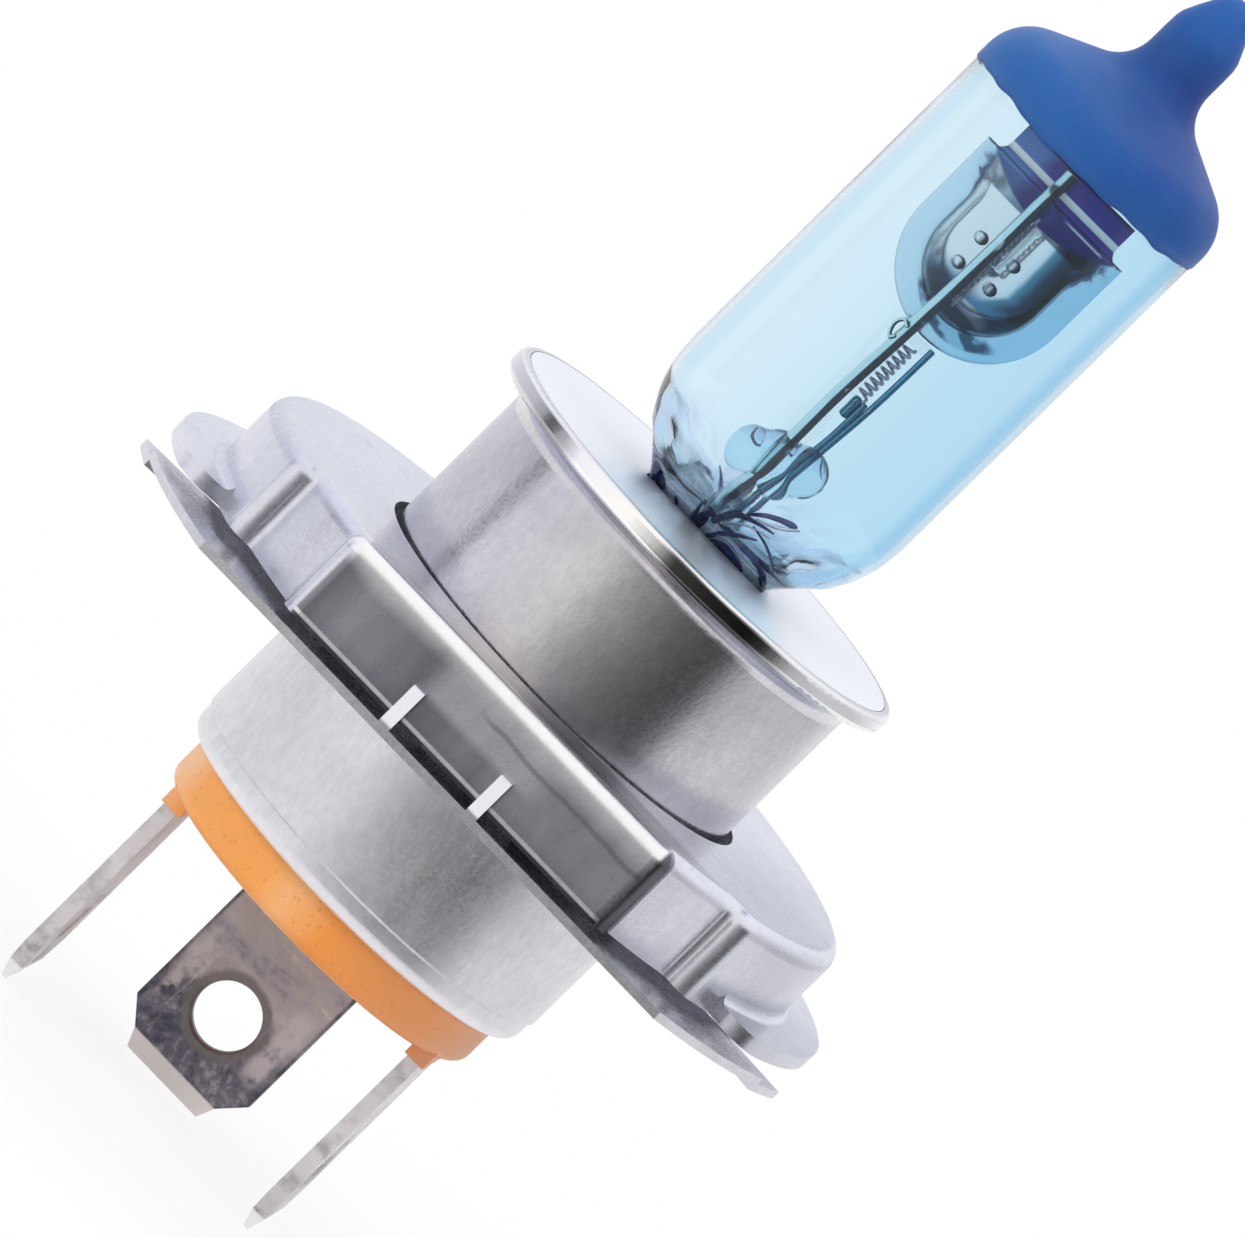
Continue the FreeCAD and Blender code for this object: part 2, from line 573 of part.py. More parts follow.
def make_spring_plate():
    body = new_body("spring_plate")
    metal = size.plate_sheet
    bottom = size.sleeve_bottom - metal
    front = size.flat_distance + size.tab_clearance + metal
    corner = (size.ear_radius * size.ear_radius - front * front).root()
    ear_x, ear_y = polar(size.ear_radius, size.ear_step_angle)
    back_x, back_y = polar(size.plate_back_radius, size.ear_step_angle)
    plan = new_sketch(body, "plate_plan", "XY_Plane", bottom)
    outline(plan, [
        (-corner, -front, size.ear_radius, 1),
        (corner, -front),
        (ear_x, ear_y, size.ear_radius, 1),
        (back_x, back_y),
        (0, size.plate_back_radius, size.plate_back_radius, 1),
        (-back_x, back_y, size.plate_back_radius, 1),
        (-ear_x, ear_y),
    ])
    pad(body, plan, "plate", metal)

    # the end of each ear is set down by most of a sheet's thickness
    inner = size.plate_back_radius
    for side in (-1, 1):
        start_x, start_y = polar(size.ear_radius, size.ear_step_angle - size.ear_lap_angle)
        root_x, root_y = polar(inner, size.ear_step_angle - size.ear_lap_angle)
        tip_x, tip_y = polar(size.ear_radius, size.ear_end_angle)
        heel_x, heel_y = polar(inner, size.ear_end_angle)
        ear = new_sketch(body, "ear_plan", "XY_Plane", bottom - size.ear_drop)
        outline(ear, [
            (start_x * side, start_y),
            (tip_x * side, tip_y, size.ear_radius, side),
            (heel_x * side, heel_y),
            (root_x * side, root_y, inner, -side),
        ])
        pad(body, ear, "ear", metal)

    # two narrow tabs are folded up over the flange's flat
    for side in (-1, 1):
        middle = size.tab_shift + size.tab_spacing * (side / 2)
        tab = new_sketch(body, "tab_plan", "XY_Plane", bottom)
        rectangle(tab, middle - size.tab_width / 2, -front, middle + size.tab_width / 2, metal - front)
        pad(body, tab, "tab", size.tab_top - bottom)

    hole = new_sketch(body, "plate_hole_plan", "XY_Plane", bottom)
    circle(hole, 0, 0, size.cup_neck_radius + size.plate_hole_clearance)
    document.recompute()
    pocket(body, hole, "plate_hole", metal, reverse=True)


# ---------------------------------------------------------------- sleeve, disc and clamp

def make_sleeve():
    body = new_body("sleeve")
    inner = size.sleeve_radius - size.sleeve_wall
    lip_low = size.lip_top - size.lip_height
    flare_end = size.sleeve_radius + size.flare_radius
    edge = size.lip_radius - size.lip_round
    seat = size.lip_radius - size.seat_width
    ledge = size.lip_top - size.disc_thickness
    section = new_sketch(body, "sleeve_section", "XZ_Plane")
    outline(section, [
        (inner, size.sleeve_bottom),
        (size.sleeve_radius, size.sleeve_bottom),
        (size.sleeve_radius, lip_low - size.flare_radius),
        (flare_end, lip_low, size.flare_radius, -1),
        (edge, lip_low),
        (size.lip_radius, lip_low + size.lip_round, size.lip_round, 1),
        (size.lip_radius, size.lip_top - size.lip_round),
        (edge, size.lip_top, size.lip_round, 1),
        (seat, size.lip_top),
        (seat, ledge),
        (seat - size.seat_ledge, ledge),
        (inner, lip_low - size.flare_radius),
    ])
    revolve(body, section, "sleeve_turned")


def make_holder_disc():
    body = new_body("holder_disc")
    plan = new_sketch(body, "disc_plan", "XY_Plane", size.lip_top - size.disc_thickness)
    circle(plan, 0, 0, size.lip_radius - size.seat_width - size.disc_clearance)
    half_x = size.pinch_half_width + size.clamp_gap
    half_y = size.pinch_half_depth + size.clamp_gap
    rectangle(plan, -half_x, -half_y, half_x, half_y)
    pad(body, plan, "disc", size.disc_thickness)


def make_pinch_clamp():
    """A bent strip round the pinch, welded under the disc, its seam at the back."""
    body = new_body("pinch_clamp")
    top = size.lip_top - size.disc_thickness
    half_x = size.pinch_half_width + size.clamp_gap
    half_y = size.pinch_half_depth + size.clamp_gap
    out_x = half_x + size.clamp_sheet
    out_y = half_y + size.clamp_sheet
    seam = size.clamp_seam / 2
    plan = new_sketch(body, "clamp_plan", "XY_Plane", top - size.clamp_height)
    outline(plan, [
        (-seam, out_y),
        (-out_x, out_y),
        (-out_x, -out_y),
        (out_x, -out_y),
        (out_x, out_y),
        (seam, out_y),
        (seam, half_y),
        (half_x, half_y),
        (half_x, -half_y),
        (-half_x, -half_y),
        (-half_x, half_y),
        (-seam, half_y),
    ])
    pad(body, plan, "clamp", size.clamp_height)


# ---------------------------------------------------------------- base cup and insulator

def make_base_cup():
    body = new_body("base_cup")
    wall = size.cup_wall
    shoulder = size.sleeve_bottom - size.plate_sheet
    neck = size.cup_neck_radius
    outer = size.cup_radius
    bead = outer - size.cup_step_depth
    section = new_sketch(body, "cup_section", "XZ_Plane")
    outline(section, [
        (neck - wall, size.cup_neck_top),
        (neck - wall, shoulder - wall),
        (outer - wall, shoulder - wall),
        (outer - wall, size.cup_bottom + wall),
        (size.cup_lip_radius, size.cup_bottom + wall),
        (size.cup_lip_radius, size.cup_bottom),
        (bead - size.cup_lower_round, size.cup_bottom),
        (bead, size.cup_bottom + size.cup_lower_round, size.cup_lower_round, 1),
        (bead, size.cup_step),
        (outer, size.cup_step + size.cup_step_depth),
        (outer, shoulder - size.cup_shoulder_round),
        (outer - size.cup_shoulder_round, shoulder, size.cup_shoulder_round, 1),
        (neck, shoulder),
        (neck, size.cup_neck_top),
    ])
    revolve(body, section, "cup_turned")


def terminal_frames():
    """Where each terminal stands: its label, its direction from the axis, its turn."""
    return (
        ("terminal_main_beam", (0, 1), 0),
        ("terminal_earth", (-1, 0), 90),
        ("terminal_dipped_beam", (1, 0), 90),
    )


def across_terminal(direction, long_half, short_half):
    """Corners of a rectangle round a terminal's section, its long side along the terminal."""
    centre_x = size.blade_offset * direction[0]
    centre_y = size.blade_offset * direction[1]
    half_x, half_y = (long_half, short_half) if direction[0] == 0 else (short_half, long_half)
    return centre_x - half_x, centre_y - half_y, centre_x + half_x, centre_y + half_y


def make_insulator():
    body = new_body("insulator")
    ledge = size.cup_bottom + size.cup_wall
    upper = size.cup_radius - size.cup_wall - size.insulator_fit
    lower = size.insulator_radius
    section = new_sketch(body, "insulator_section", "XZ_Plane")
    outline(section, [
        (0, size.insulator_bottom),
        (lower - size.insulator_round, size.insulator_bottom),
        (lower, size.insulator_bottom + size.insulator_round, size.insulator_round, 1),
        (lower, ledge),
        (upper, ledge),
        (upper, size.insulator_top),
        (0, size.insulator_top),
    ])
    revolve(body, section, "insulator_turned")
    for _, direction, _ in terminal_frames():
        boss = new_sketch(body, "boss_plan", "XY_Plane", size.insulator_bottom - size.boss_height)
        rectangle(boss, *across_terminal(direction, size.boss_width / 2, size.boss_depth / 2))
        pad(body, boss, "boss", size.boss_height + size.insulator_round)
    for _, direction, _ in terminal_frames():
        slot = new_sketch(body, "slot_plan", "XY_Plane", size.insulator_bottom - size.boss_height)
        long_half = size.blade_shank_width / 2 + size.slot_clearance
        short_half = size.blade_thickness / 2 + size.slot_clearance
        rectangle(slot, *across_terminal(direction, long_half, short_half))
        document.recompute()
        depth = size.insulator_top - size.insulator_bottom + size.boss_height
        pocket(body, slot, "slot", depth, reverse=True)


def make_terminal(label, direction, turn):
    body = new_body(label)
    half = size.blade_width / 2
    shank = size.blade_shank_width / 2
    shoulder = size.insulator_bottom - size.boss_height
    nose = size.blade_end + size.blade_nose
    cut = half - size.blade_corner_width
    tip = cut - size.blade_nose_taper
    plan = new_sketch(body, "blade_plan", "XZ_Plane")
    outline(plan, [
        (-tip, size.blade_end),
        (tip, size.blade_end),
        (cut, nose),
        (half, nose + size.blade_corner_height),
        (half, shoulder),
        (shank, shoulder),
        (shank, size.blade_shank_top),
        (-shank, size.blade_shank_top),
        (-shank, shoulder),
        (-half, shoulder),
        (-half, nose + size.blade_corner_height),
        (-cut, nose),
    ])
    pad(body, plan, "blade", size.blade_thickness, both_ways=True)
    hole = new_sketch(body, "blade_hole_plan", "XZ_Plane")
    circle(hole, 0, size.blade_hole_height, size.blade_hole_radius)
    document.recompute()
    pocket(body, hole, "blade_hole", size.blade_thickness * 2, both_ways=True)
    # both faces of the nose are ground to a wedge
    face = size.blade_thickness / 2
    for side in (-1, 1):
        wedge = new_sketch(body, "nose_section", "YZ_Plane")
        outline(wedge, [
            (face * side, size.blade_end),
            (face * side, nose),
            ((face - size.blade_bevel) * side, size.blade_end),
        ])
        document.recompute()
        pocket(body, wedge, "nose_bevel", size.blade_width, both_ways=True)
    dress(body, "Chamfer", "blade_hole_edge", size.blade_hole_chamfer,
          lambda edge: abs(radius_of(edge) - size.blade_hole_radius.value) < 1e-4)
    body.Placement = FreeCAD.Placement(FreeCAD.Vector(), FreeCAD.Vector(0, 0, 1), turn)
    for axis, sign in zip("xy", direction):
        if sign:
            body.setExpression("Placement.Base." + axis, (size.blade_offset * sign).formula)


# ---------------------------------------------------------------- glass and paint

def dome_steps(start, offset):
    """The dome from its wall up to the pip's tip, moved outward by offset."""
    slope = size.dome_slope
    wall = size.glass_radius + offset
    shoulder = size.shoulder_radius + offset
    centre = size.glass_radius - size.shoulder_radius
    neck = size.neck_radius - offset
    pip = size.pip_radius + offset
    neck_centre = size.pip_radius + size.neck_radius
    crest_x = centre + shoulder * slope.sine()
    crest_z = size.shoulder_height + shoulder * slope.cosine()
    foot_x = neck_centre - neck * slope.sine()
    foot_z = crest_z + (crest_x - foot_x) * slope.sine() / slope.cosine()
    pip_start = foot_z + neck * slope.cosine()
    pip_end = pip_start + size.pip_length
    nose_radius = size.pip_nose_radius + offset
    nose = pip_end + size.pip_nose + offset / 2
    rise = size.pip_end_height + offset / 2
    end_round = (nose_radius * nose_radius + rise * rise) / (rise * 2)
    return [
        (wall, start),
        (wall, size.shoulder_height),
        (crest_x, crest_z, shoulder, 1),
        (foot_x, foot_z),
        (pip, pip_start, neck, -1),
        (pip, pip_end),
        (nose_radius, nose),
        (0, nose + rise, end_round, 1),
    ]


def backwards(steps):
    """The same outline run the other way, without its last point."""
    turned = []
    for number in range(len(steps) - 1, 0, -1):
        target = steps[number - 1]
        arc = steps[number][2:]
        turned.append(tuple(target[:2]) + ((arc[0], -arc[1]) if arc else ()))
    return turned


def make_dome():
    """The tube and dome of the envelope, with a hollow cone inside the dome."""
    body = document.addObject("PartDesign::Body", "envelope_dome")
    bore = size.glass_radius - size.glass_wall
    inner_round = size.shoulder_radius - size.glass_wall
    slope = size.dome_slope
    crest_x = size.glass_radius - size.shoulder_radius + inner_round * slope.sine()
    crest_z = size.shoulder_height + inner_round * slope.cosine()
    peak = crest_z + crest_x * slope.sine() / slope.cosine()
    section = new_sketch(body, "dome_section", "XZ_Plane")
    outline(section, dome_steps(size.glass_start, Size.of(0)) + [
        (0, peak),
        (crest_x, crest_z),
        (bore, size.shoulder_height, inner_round, -1),
        (bore, size.glass_start),
    ])
    revolve(body, section, "dome_turned")
    return body


def make_tip_coating():
    body = new_body("tip_coating")
    inner = dome_steps(size.paint_start, size.paint_gap)
    outer = dome_steps(size.paint_start, size.paint_gap + size.paint_thickness)
    section = new_sketch(body, "paint_section", "XZ_Plane")
    outline(section, outer + [tuple(inner[-1][:2])] + backwards(inner))
    revolve(body, section, "paint_turned")


def elliptic_loft(name, stations):
    """A smooth solid through flat ovals, each given as (height, half width, half depth)."""
    ovals = []
    for height, half_x, half_y in stations:
        oval = document.addObject("Part::Ellipse", name + "_oval")
        oval.setExpression("MajorRadius", Size.of(half_x).formula)
        oval.setExpression("MinorRadius", Size.of(half_y).formula)
        oval.setExpression("Placement.Base.z", Size.of(height).formula)
        ovals.append(oval)
    loft = document.addObject("Part::Loft", name)
    loft.Sections = ovals
    loft.Solid = True
    loft.Ruled = False
    return loft


def taper_stations(wall):
    """Ovals of the taper between the pinch and the tube, from the bottom up."""
    full = size.glass_radius - wall
    half = size.pinch_half_width
    deep = size.pinch_half_depth
    length = size.glass_start - size.pinch_top
    # how far along the taper, and how far its width and its depth have grown by then
    shares = (
        (0.0, 0.0, 0.0),
        (0.08, 0.13, 0.11),
        (0.21, 0.36, 0.34),
        (0.34, 0.62, 0.60),
        (0.53, 0.83, 0.82),
        (0.73, 0.95, 0.945),
        (1.0, 1.0, 1.0),
    )
    return [(size.pinch_top + length * along,
             half - wall + (size.glass_radius - half) * wide,
             deep - wall + (size.glass_radius - deep) * broad)
            for along, wide, broad in shares]


def make_pinch():
    """The pressed seal: a flat bar with a thick rib along each edge."""
    body = document.addObject("PartDesign::Body", "envelope_pinch")
    half_x, half_y = size.pinch_half_width, size.pinch_half_depth
    rib, dish = half_x - size.pinch_rib, half_y - size.pinch_dish
    slope = rib - size.pinch_dish
    plan = new_sketch(body, "pinch_plan", "XY_Plane", size.pinch_bottom)
    outline(plan, [
        (-half_x, -half_y), (-rib, -half_y), (-slope, -dish), (slope, -dish), (rib, -half_y),
        (half_x, -half_y), (half_x, half_y), (rib, half_y), (slope, dish), (-slope, dish),
        (-rib, half_y), (-half_x, half_y),
    ])
    pad(body, plan, "pinch", size.pinch_top - size.pinch_bottom)
    return body


def fused(name, members):
    union = document.addObject("Part::MultiFuse", name)
    union.Shapes = members
    return union


def make_glass_envelope(pockets):
    taper = elliptic_loft("envelope_taper", taper_stations(Size.of(0)))
    hollow = elliptic_loft("envelope_hollow", taper_stations(size.glass_wall)[2:])
    walls = fused("envelope_walls", [make_pinch(), taper, make_dome()])
    cuts = fused("envelope_cuts", [hollow] + pockets)
    envelope = document.addObject("Part::Cut", "glass_envelope")
    envelope.Base = walls
    envelope.Tool = cuts
    envelope.Label = "glass_envelope"
    PIECES.append(envelope)


# ---------------------------------------------------------------- wires, foils and bead

def lap_depth(radius):
    """How far in front of the foil's middle a wire lies that is welded to its face."""
    return -(size.foil_thickness / 2 + size.weld_gap + radius)


def vector(x, y, z):
    return FreeCAD.Vector(*(Size.of(item).value for item in (x, y, z)))


def inner_wires():
    """Label, radius and route of each wire from its foil up into the bulb."""
    support, lead = size.support_wire_radius, size.lead_radius
    start = size.foil_top - size.foil_lap
    exit_height = size.pinch_top - size.lead_exit
    spread = size.foil_spacing
    front = size.support_wire_depth
    hook = size.shield_front - support - size.weld_gap
    crimp_side = size.main_coil_across + size.crimp_radius + lead + size.weld_gap
    rim_side = size.shield_front - lead - size.weld_gap
    bend = size.pinch_top + size.wire_bend_rise
    straight = size.bead_height + size.wire_straight_rise
    return {
        "shield_support_wire": (support, [
            (-spread, lap_depth(support), start),
            (-spread, lap_depth(support), exit_height),
            (size.support_bend_across, front, bend),
            (size.support_wire_across, front, size.shield_top - size.support_joggle_drop),
            (size.support_wire_across, hook, size.shield_top + size.support_joggle_rise),
            (size.support_wire_across, hook, size.support_wire_top),
        ]),
        "main_beam_lead": (lead, [
            (0, lap_depth(lead), start),
            (0, lap_depth(lead), exit_height),
            (size.main_bend_across, size.main_bend_depth, bend),
            (crimp_side, size.main_coil_depth, straight),
            (crimp_side, size.main_coil_depth, size.main_coil_bottom - size.filament_wire),
        ]),
        "dipped_beam_lead": (lead, [
            (spread, lap_depth(lead), start),
            (spread, lap_depth(lead), exit_height),
            (size.dipped_bend_across, size.dipped_bend_depth, bend),
            (size.dipped_straight_across, rim_side, straight),
            (size.dipped_lead_across, rim_side, size.shield_bottom - size.dipped_lead_drop),
            (size.dipped_lead_across, rim_side, size.shield_bottom + size.dipped_lead_lap),
        ]),
    }


def outer_wires():
    """Label, radius and route of each wire from its foil down to its terminal."""
    radius = size.outer_lead_radius
    start = size.foil_bottom + size.foil_lap
    leave = size.pinch_bottom - size.lead_exit
    reach = size.blade_offset - size.blade_thickness / 2 - radius - size.weld_gap
    arrive = size.blade_shank_top + size.lead_exit
    finish = size.insulator_top + size.lead_rest
    routes = {}
    for label, across, direction in (("outer_lead_earth", -1, (-1, 0)),
                                     ("outer_lead_main_beam", 0, (0, 1)),
                                     ("outer_lead_dipped_beam", 1, (1, 0))):
        side = size.foil_spacing * across
        end_x, end_y = reach * direction[0], reach * direction[1]
        routes[label] = (radius, [
            (side, lap_depth(radius), start),
            (side, lap_depth(radius), leave),
            (end_x, end_y, arrive),
            (end_x, end_y, finish),
        ])
    return routes


def wire_shape(route, radius):
    return straight_runs([vector(*point) for point in route], radius.value)


def make_wires():
    """Every wire, and for each a slightly thicker copy that clears its way through glass."""
    clearances = []
    for label, (radius, route) in list(inner_wires().items()) + list(outer_wires().items()):
        new_feature(label, wire_shape(route, radius))
        clearance = document.addObject("Part::Feature", label + "_clearance")
        gap = size.bead_clearance
        across, depth, start = route[0]
        outwards = 1 if start.value > route[1][2].value else -1
        begin = (across, depth, start + gap * outwards)
        clearance.Shape = wire_shape([begin] + route[1:], radius + gap)
        clearances.append(clearance)
    return clearances


def make_foils():
    slots = []
    for label, across in (("foil_earth", -1), ("foil_main_beam", 0), ("foil_dipped_beam", 1)):
        for grown in (False, True):
            gap = size.bead_clearance * (1 if grown else 0)
            foil = document.addObject("Part::Box", label + ("_slot" if grown else ""))
            wide = size.foil_width + gap * 2
            thick = size.foil_thickness + gap * 2
            foil.setExpression("Length", wide.formula)
            foil.setExpression("Width", thick.formula)
            foil.setExpression("Height", (size.foil_top - size.foil_bottom + gap * 2).formula)
            foil.setExpression("Placement.Base.x", (size.foil_spacing * across - wide / 2).formula)
            foil.setExpression("Placement.Base.y", (-(thick / 2)).formula)
            foil.setExpression("Placement.Base.z", (size.foil_bottom - gap).formula)
            if grown:
                slots.append(foil)
            else:
                foil.Label = label
                PIECES.append(foil)
    return slots


def make_bead(clearances):
    """The glass bead that bridges the three inner wires: three merged drops."""
    lobes = []
    middle = size.bead_across
    for side, radius in ((-1, size.bead_side_radius), (0, size.bead_radius), (1, size.bead_radius)):
        lobe = document.addObject("Part::Sphere", "bead_lobe")
        lobe.setExpression("Radius", radius.formula)
        lobe.Placement.Rotation = FreeCAD.Rotation(FreeCAD.Vector(1, 0, 0), 90)
        lobe.setExpression("Placement.Base.x", (middle + size.bead_spread * side).formula)
        lobe.setExpression("Placement.Base.y", size.bead_depth.formula)
        lobe.setExpression("Placement.Base.z", (size.bead_height + size.bead_tilt * side).formula)
        lobes.append(lobe)
    bead = document.addObject("Part::Cut", "glass_bridge_bead")
    bead.Base = fused("bead_lobes", lobes)
    bead.Tool = fused("bead_holes", clearances)
    bead.Label = "glass_bridge_bead"
    PIECES.append(bead)


# ---------------------------------------------------------------- filaments and shield

def make_coil(label, across, depth, radius, bottom, height, turns, tail_down=None, tail_up=None):
    body = new_body(label)
    section = new_sketch(body, "wire_section", "XZ_Plane")
    circle(section, radius, 0, size.filament_wire)
    coil = body.newObject("PartDesign::AdditiveHelix", "coil")
    coil.Profile = section
    coil.ReferenceAxis = (section, ["V_Axis"])
    coil.Mode = "height-turns-angle"
    coil.setExpression("Height", height.formula)
    coil.setExpression("Turns", turns.formula)
    document.recompute()
    for length, base in ((tail_down, None), (tail_up, height)):
        if length is None:
            continue
        tail = new_sketch(body, "tail_section", "XY_Plane", base)
        circle(tail, radius, 0, size.filament_wire)
        pad(body, tail, "tail", length, reverse=base is None)
        document.recompute()
    body.setExpression("Placement.Base.x", across.formula)
    body.setExpression("Placement.Base.y", depth.formula)
    body.setExpression("Placement.Base.z", bottom.formula)


def make_clamps():
    """The crimp below the main beam's coil and the clamp above it."""
    crimp = document.addObject("Part::Cylinder", "main_filament_crimp")
    crimp.setExpression("Radius", size.crimp_radius.formula)
    crimp.setExpression("Height", size.crimp_height.formula)
    crimp.setExpression("Placement.Base.x", size.main_coil_across.formula)
    crimp.setExpression("Placement.Base.y", size.main_coil_depth.formula)
    top = size.main_coil_bottom - size.filament_wire
    crimp.setExpression("Placement.Base.z", (top - size.crimp_height).formula)
    crimp.Label = "main_filament_crimp"
    PIECES.append(crimp)

    clamp = document.addObject("Part::Box", "main_filament_clamp")
    left = size.main_coil_across - size.crimp_radius
    right = size.dipped_lead_across - size.lead_radius - size.weld_gap
    bottom = size.main_coil_bottom + size.main_coil_height + size.filament_wire
    clamp.setExpression("Length", (right - left).formula)
    clamp.setExpression("Width", size.upper_clamp_depth.formula)
    clamp.setExpression("Height", size.upper_clamp_height.formula)
    clamp.setExpression("Placement.Base.x", left.formula)
    clamp.setExpression("Placement.Base.y", (size.main_coil_depth - size.upper_clamp_depth / 2).formula)
    clamp.setExpression("Placement.Base.z", bottom.formula)
    clamp.Label = "main_filament_clamp"
    PIECES.append(clamp)


def spoon_outline(sketch, half, bottom, top, middle):
    """A U: straight sides, a half-round lower end and a flat top."""
    bend = bottom + half
    outline(sketch, [
        (middle - half, top),
        (middle - half, bend),
        (middle, bottom, half, 1),
        (middle + half, bend, half, 1),
        (middle + half, top),
    ])


def add_bowl(body, inset):
    """The bowl's block: a U with its far edge rounded, every wall set in by inset."""
    middle = size.shield_shift
    half = size.shield_bowl_half_width - inset
    deep = size.shield_bowl_depth - inset
    plan = new_sketch(body, "bowl_plan", "XZ_Plane", -size.shield_front)
    spoon_outline(plan, half, size.shield_bowl_bottom + inset, size.shield_bowl_top - inset, middle)
    pad(body, plan, "bowl", deep, reverse=True)
    floor = size.shield_front.value + deep.value
    dress(body, "Fillet", "bowl_edge", size.shield_bowl_round - inset,
          lambda edge: abs(edge.BoundBox.YMin - floor) < 1e-4
          and abs(edge.BoundBox.YMax - floor) < 1e-4)


def make_shield():
    """A spoon of thin sheet: a flat rim, a deep bowl behind it and a neck on top."""
    body = document.addObject("PartDesign::Body", "shield_block")
    metal = size.shield_sheet
    front = -size.shield_front
    middle = size.shield_shift
    rim = new_sketch(body, "rim_plan", "XZ_Plane", front)
    spoon_outline(rim, size.shield_half_width, size.shield_bottom, size.shield_top, middle)
    pad(body, rim, "rim", metal, reverse=True)
    neck = new_sketch(body, "neck_plan", "XZ_Plane", front)
    rectangle(neck, middle - size.shield_neck_half_width, size.shield_top - metal,
              middle + size.shield_neck_half_width, size.shield_neck_top)
    pad(body, neck, "neck", metal, reverse=True)
    add_bowl(body, Size.of(0))
    core = document.addObject("PartDesign::Body", "shield_core")
    add_bowl(core, metal)
    shield = document.addObject("Part::Cut", "dipped_beam_shield")
    shield.Base = body
    shield.Tool = core
    shield.Label = "dipped_beam_shield"
    PIECES.append(shield)


# ---------------------------------------------------------------- the whole bulb

make_mounting_flange()
make_spring_plate()
make_sleeve()
make_holder_disc()
make_pinch_clamp()
make_base_cup()
make_insulator()
for terminal in terminal_frames():
    make_terminal(*terminal)
wire_clearances = make_wires()
foil_slots = make_foils()
make_glass_envelope(foil_slots + wire_clearances)
make_bead(wire_clearances[:3])
make_tip_coating()
make_coil("main_beam_filament", size.main_coil_across, size.main_coil_depth, size.main_coil_radius,
          size.main_coil_bottom, size.main_coil_height, size.main_coil_turns)
make_coil("dipped_beam_filament", size.dipped_coil_across, size.dipped_coil_depth,
          size.dipped_coil_radius, size.dipped_coil_bottom, size.dipped_coil_height,
          size.dipped_coil_turns, size.filament_tail, size.filament_tail)
make_clamps()
make_shield()
document.recompute()

faulty = [item.Name for item in document.Objects
          if "Invalid" in item.State or "Error" in item.State]
if faulty:
    raise RuntimeError("these objects failed: %s" % ", ".join(faulty))
for piece in PIECES:
    if piece.Shape.isNull() or not piece.Shape.isValid():
        raise RuntimeError("%s has no valid shape" % piece.Label)

os.makedirs("parts", exist_ok=True)
for piece in PIECES:
    piece.Shape.exportStep("parts/%s.step" % piece.Label)
print("%d pieces written" % len(PIECES))
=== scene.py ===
import math
import bpy
from mathutils import Euler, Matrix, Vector


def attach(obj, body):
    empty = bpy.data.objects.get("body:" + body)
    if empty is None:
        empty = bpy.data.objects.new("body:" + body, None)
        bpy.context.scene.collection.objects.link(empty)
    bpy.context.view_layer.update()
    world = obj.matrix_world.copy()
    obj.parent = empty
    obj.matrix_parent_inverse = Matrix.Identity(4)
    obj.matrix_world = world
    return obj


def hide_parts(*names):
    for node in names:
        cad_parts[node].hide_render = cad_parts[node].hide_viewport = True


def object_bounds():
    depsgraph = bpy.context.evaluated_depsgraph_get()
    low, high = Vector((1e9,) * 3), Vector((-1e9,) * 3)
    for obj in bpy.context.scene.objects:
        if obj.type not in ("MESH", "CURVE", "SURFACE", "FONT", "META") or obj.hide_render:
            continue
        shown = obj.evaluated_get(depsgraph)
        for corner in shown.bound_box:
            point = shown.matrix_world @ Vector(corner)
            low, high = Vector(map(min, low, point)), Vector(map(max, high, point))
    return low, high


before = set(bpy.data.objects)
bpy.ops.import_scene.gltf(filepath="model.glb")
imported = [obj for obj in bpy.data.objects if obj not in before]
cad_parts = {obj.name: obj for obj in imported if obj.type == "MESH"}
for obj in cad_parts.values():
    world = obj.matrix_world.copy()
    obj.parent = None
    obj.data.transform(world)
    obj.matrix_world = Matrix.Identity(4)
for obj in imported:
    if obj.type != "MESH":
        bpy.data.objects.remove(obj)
cad_low, cad_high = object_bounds()

MM = 0.001
TAU = 2 * math.pi

# ---- sizes in mm

TUBE_RADIUS, HOLLOW_RADIUS = 7.15, 6.82
TAPER_START, TAPER_LENGTH = 14.0, 6.2
DOME_START, PAINT_START = 40.1, 39.4
PINCH = (3.9, 1.75, 5.0)
ROUND = 2.0
TAPER_STEPS = 24
TUBE_HEIGHTS = (24.0, 28.0, 32.0, 36.0)

# height, half width, half depth and power of the oval
TAPER = [
    (14.0, 3.9, 1.75, 5.0), (14.5, 4.32, 2.34, 3.2), (15.3, 5.07, 3.59, 2.4),
    (16.11, 5.92, 4.99, 2.1), (17.29, 6.6, 6.18, 2.0), (18.53, 6.99, 6.85, 2.0),
    (19.4, 7.1, 7.06, 2.0), (20.2, 7.15, 7.15, 2.0),
]

SHIELD_MIDDLE, SHIELD_FRONT = 0.5, -0.3
SHIELD_SHEET, BOWL_DEPTH = 0.16, 2.2
RIM_HALF, RIM_BEND, RIM_TOP = 4.5, 32.5, 37.2
BEND_START, BEND_END = 0.3, 0.7
NECK_HALF, NECK_BOTTOM, NECK_HEIGHT = 3.55, 37.15, 2.05
COIL_WIRE = 0.085
MAIN_COIL_X, MAIN_COIL_Y = 0.55, -0.55
BLADE_HOLE = -20.7
PAINT_LENGTH = 10.5
FLOOR_DROP, FLOOR_HALF = 0.2, 3000.0
TENT_RADIUS, TENT_TOP = 200.0, 400.0

# the camera: metres, degrees, and mm of lens
DISTANCE = 0.8
AZIMUTH, ELEVATION, ROLL = 3.0, 8.3, 45.5
LENS, SENSOR = 482.4, 36.0
AIM = (0.00012, 0, 0.00806)
LAMP_TARGET = (0, 0, 0.01)


# ---- materials

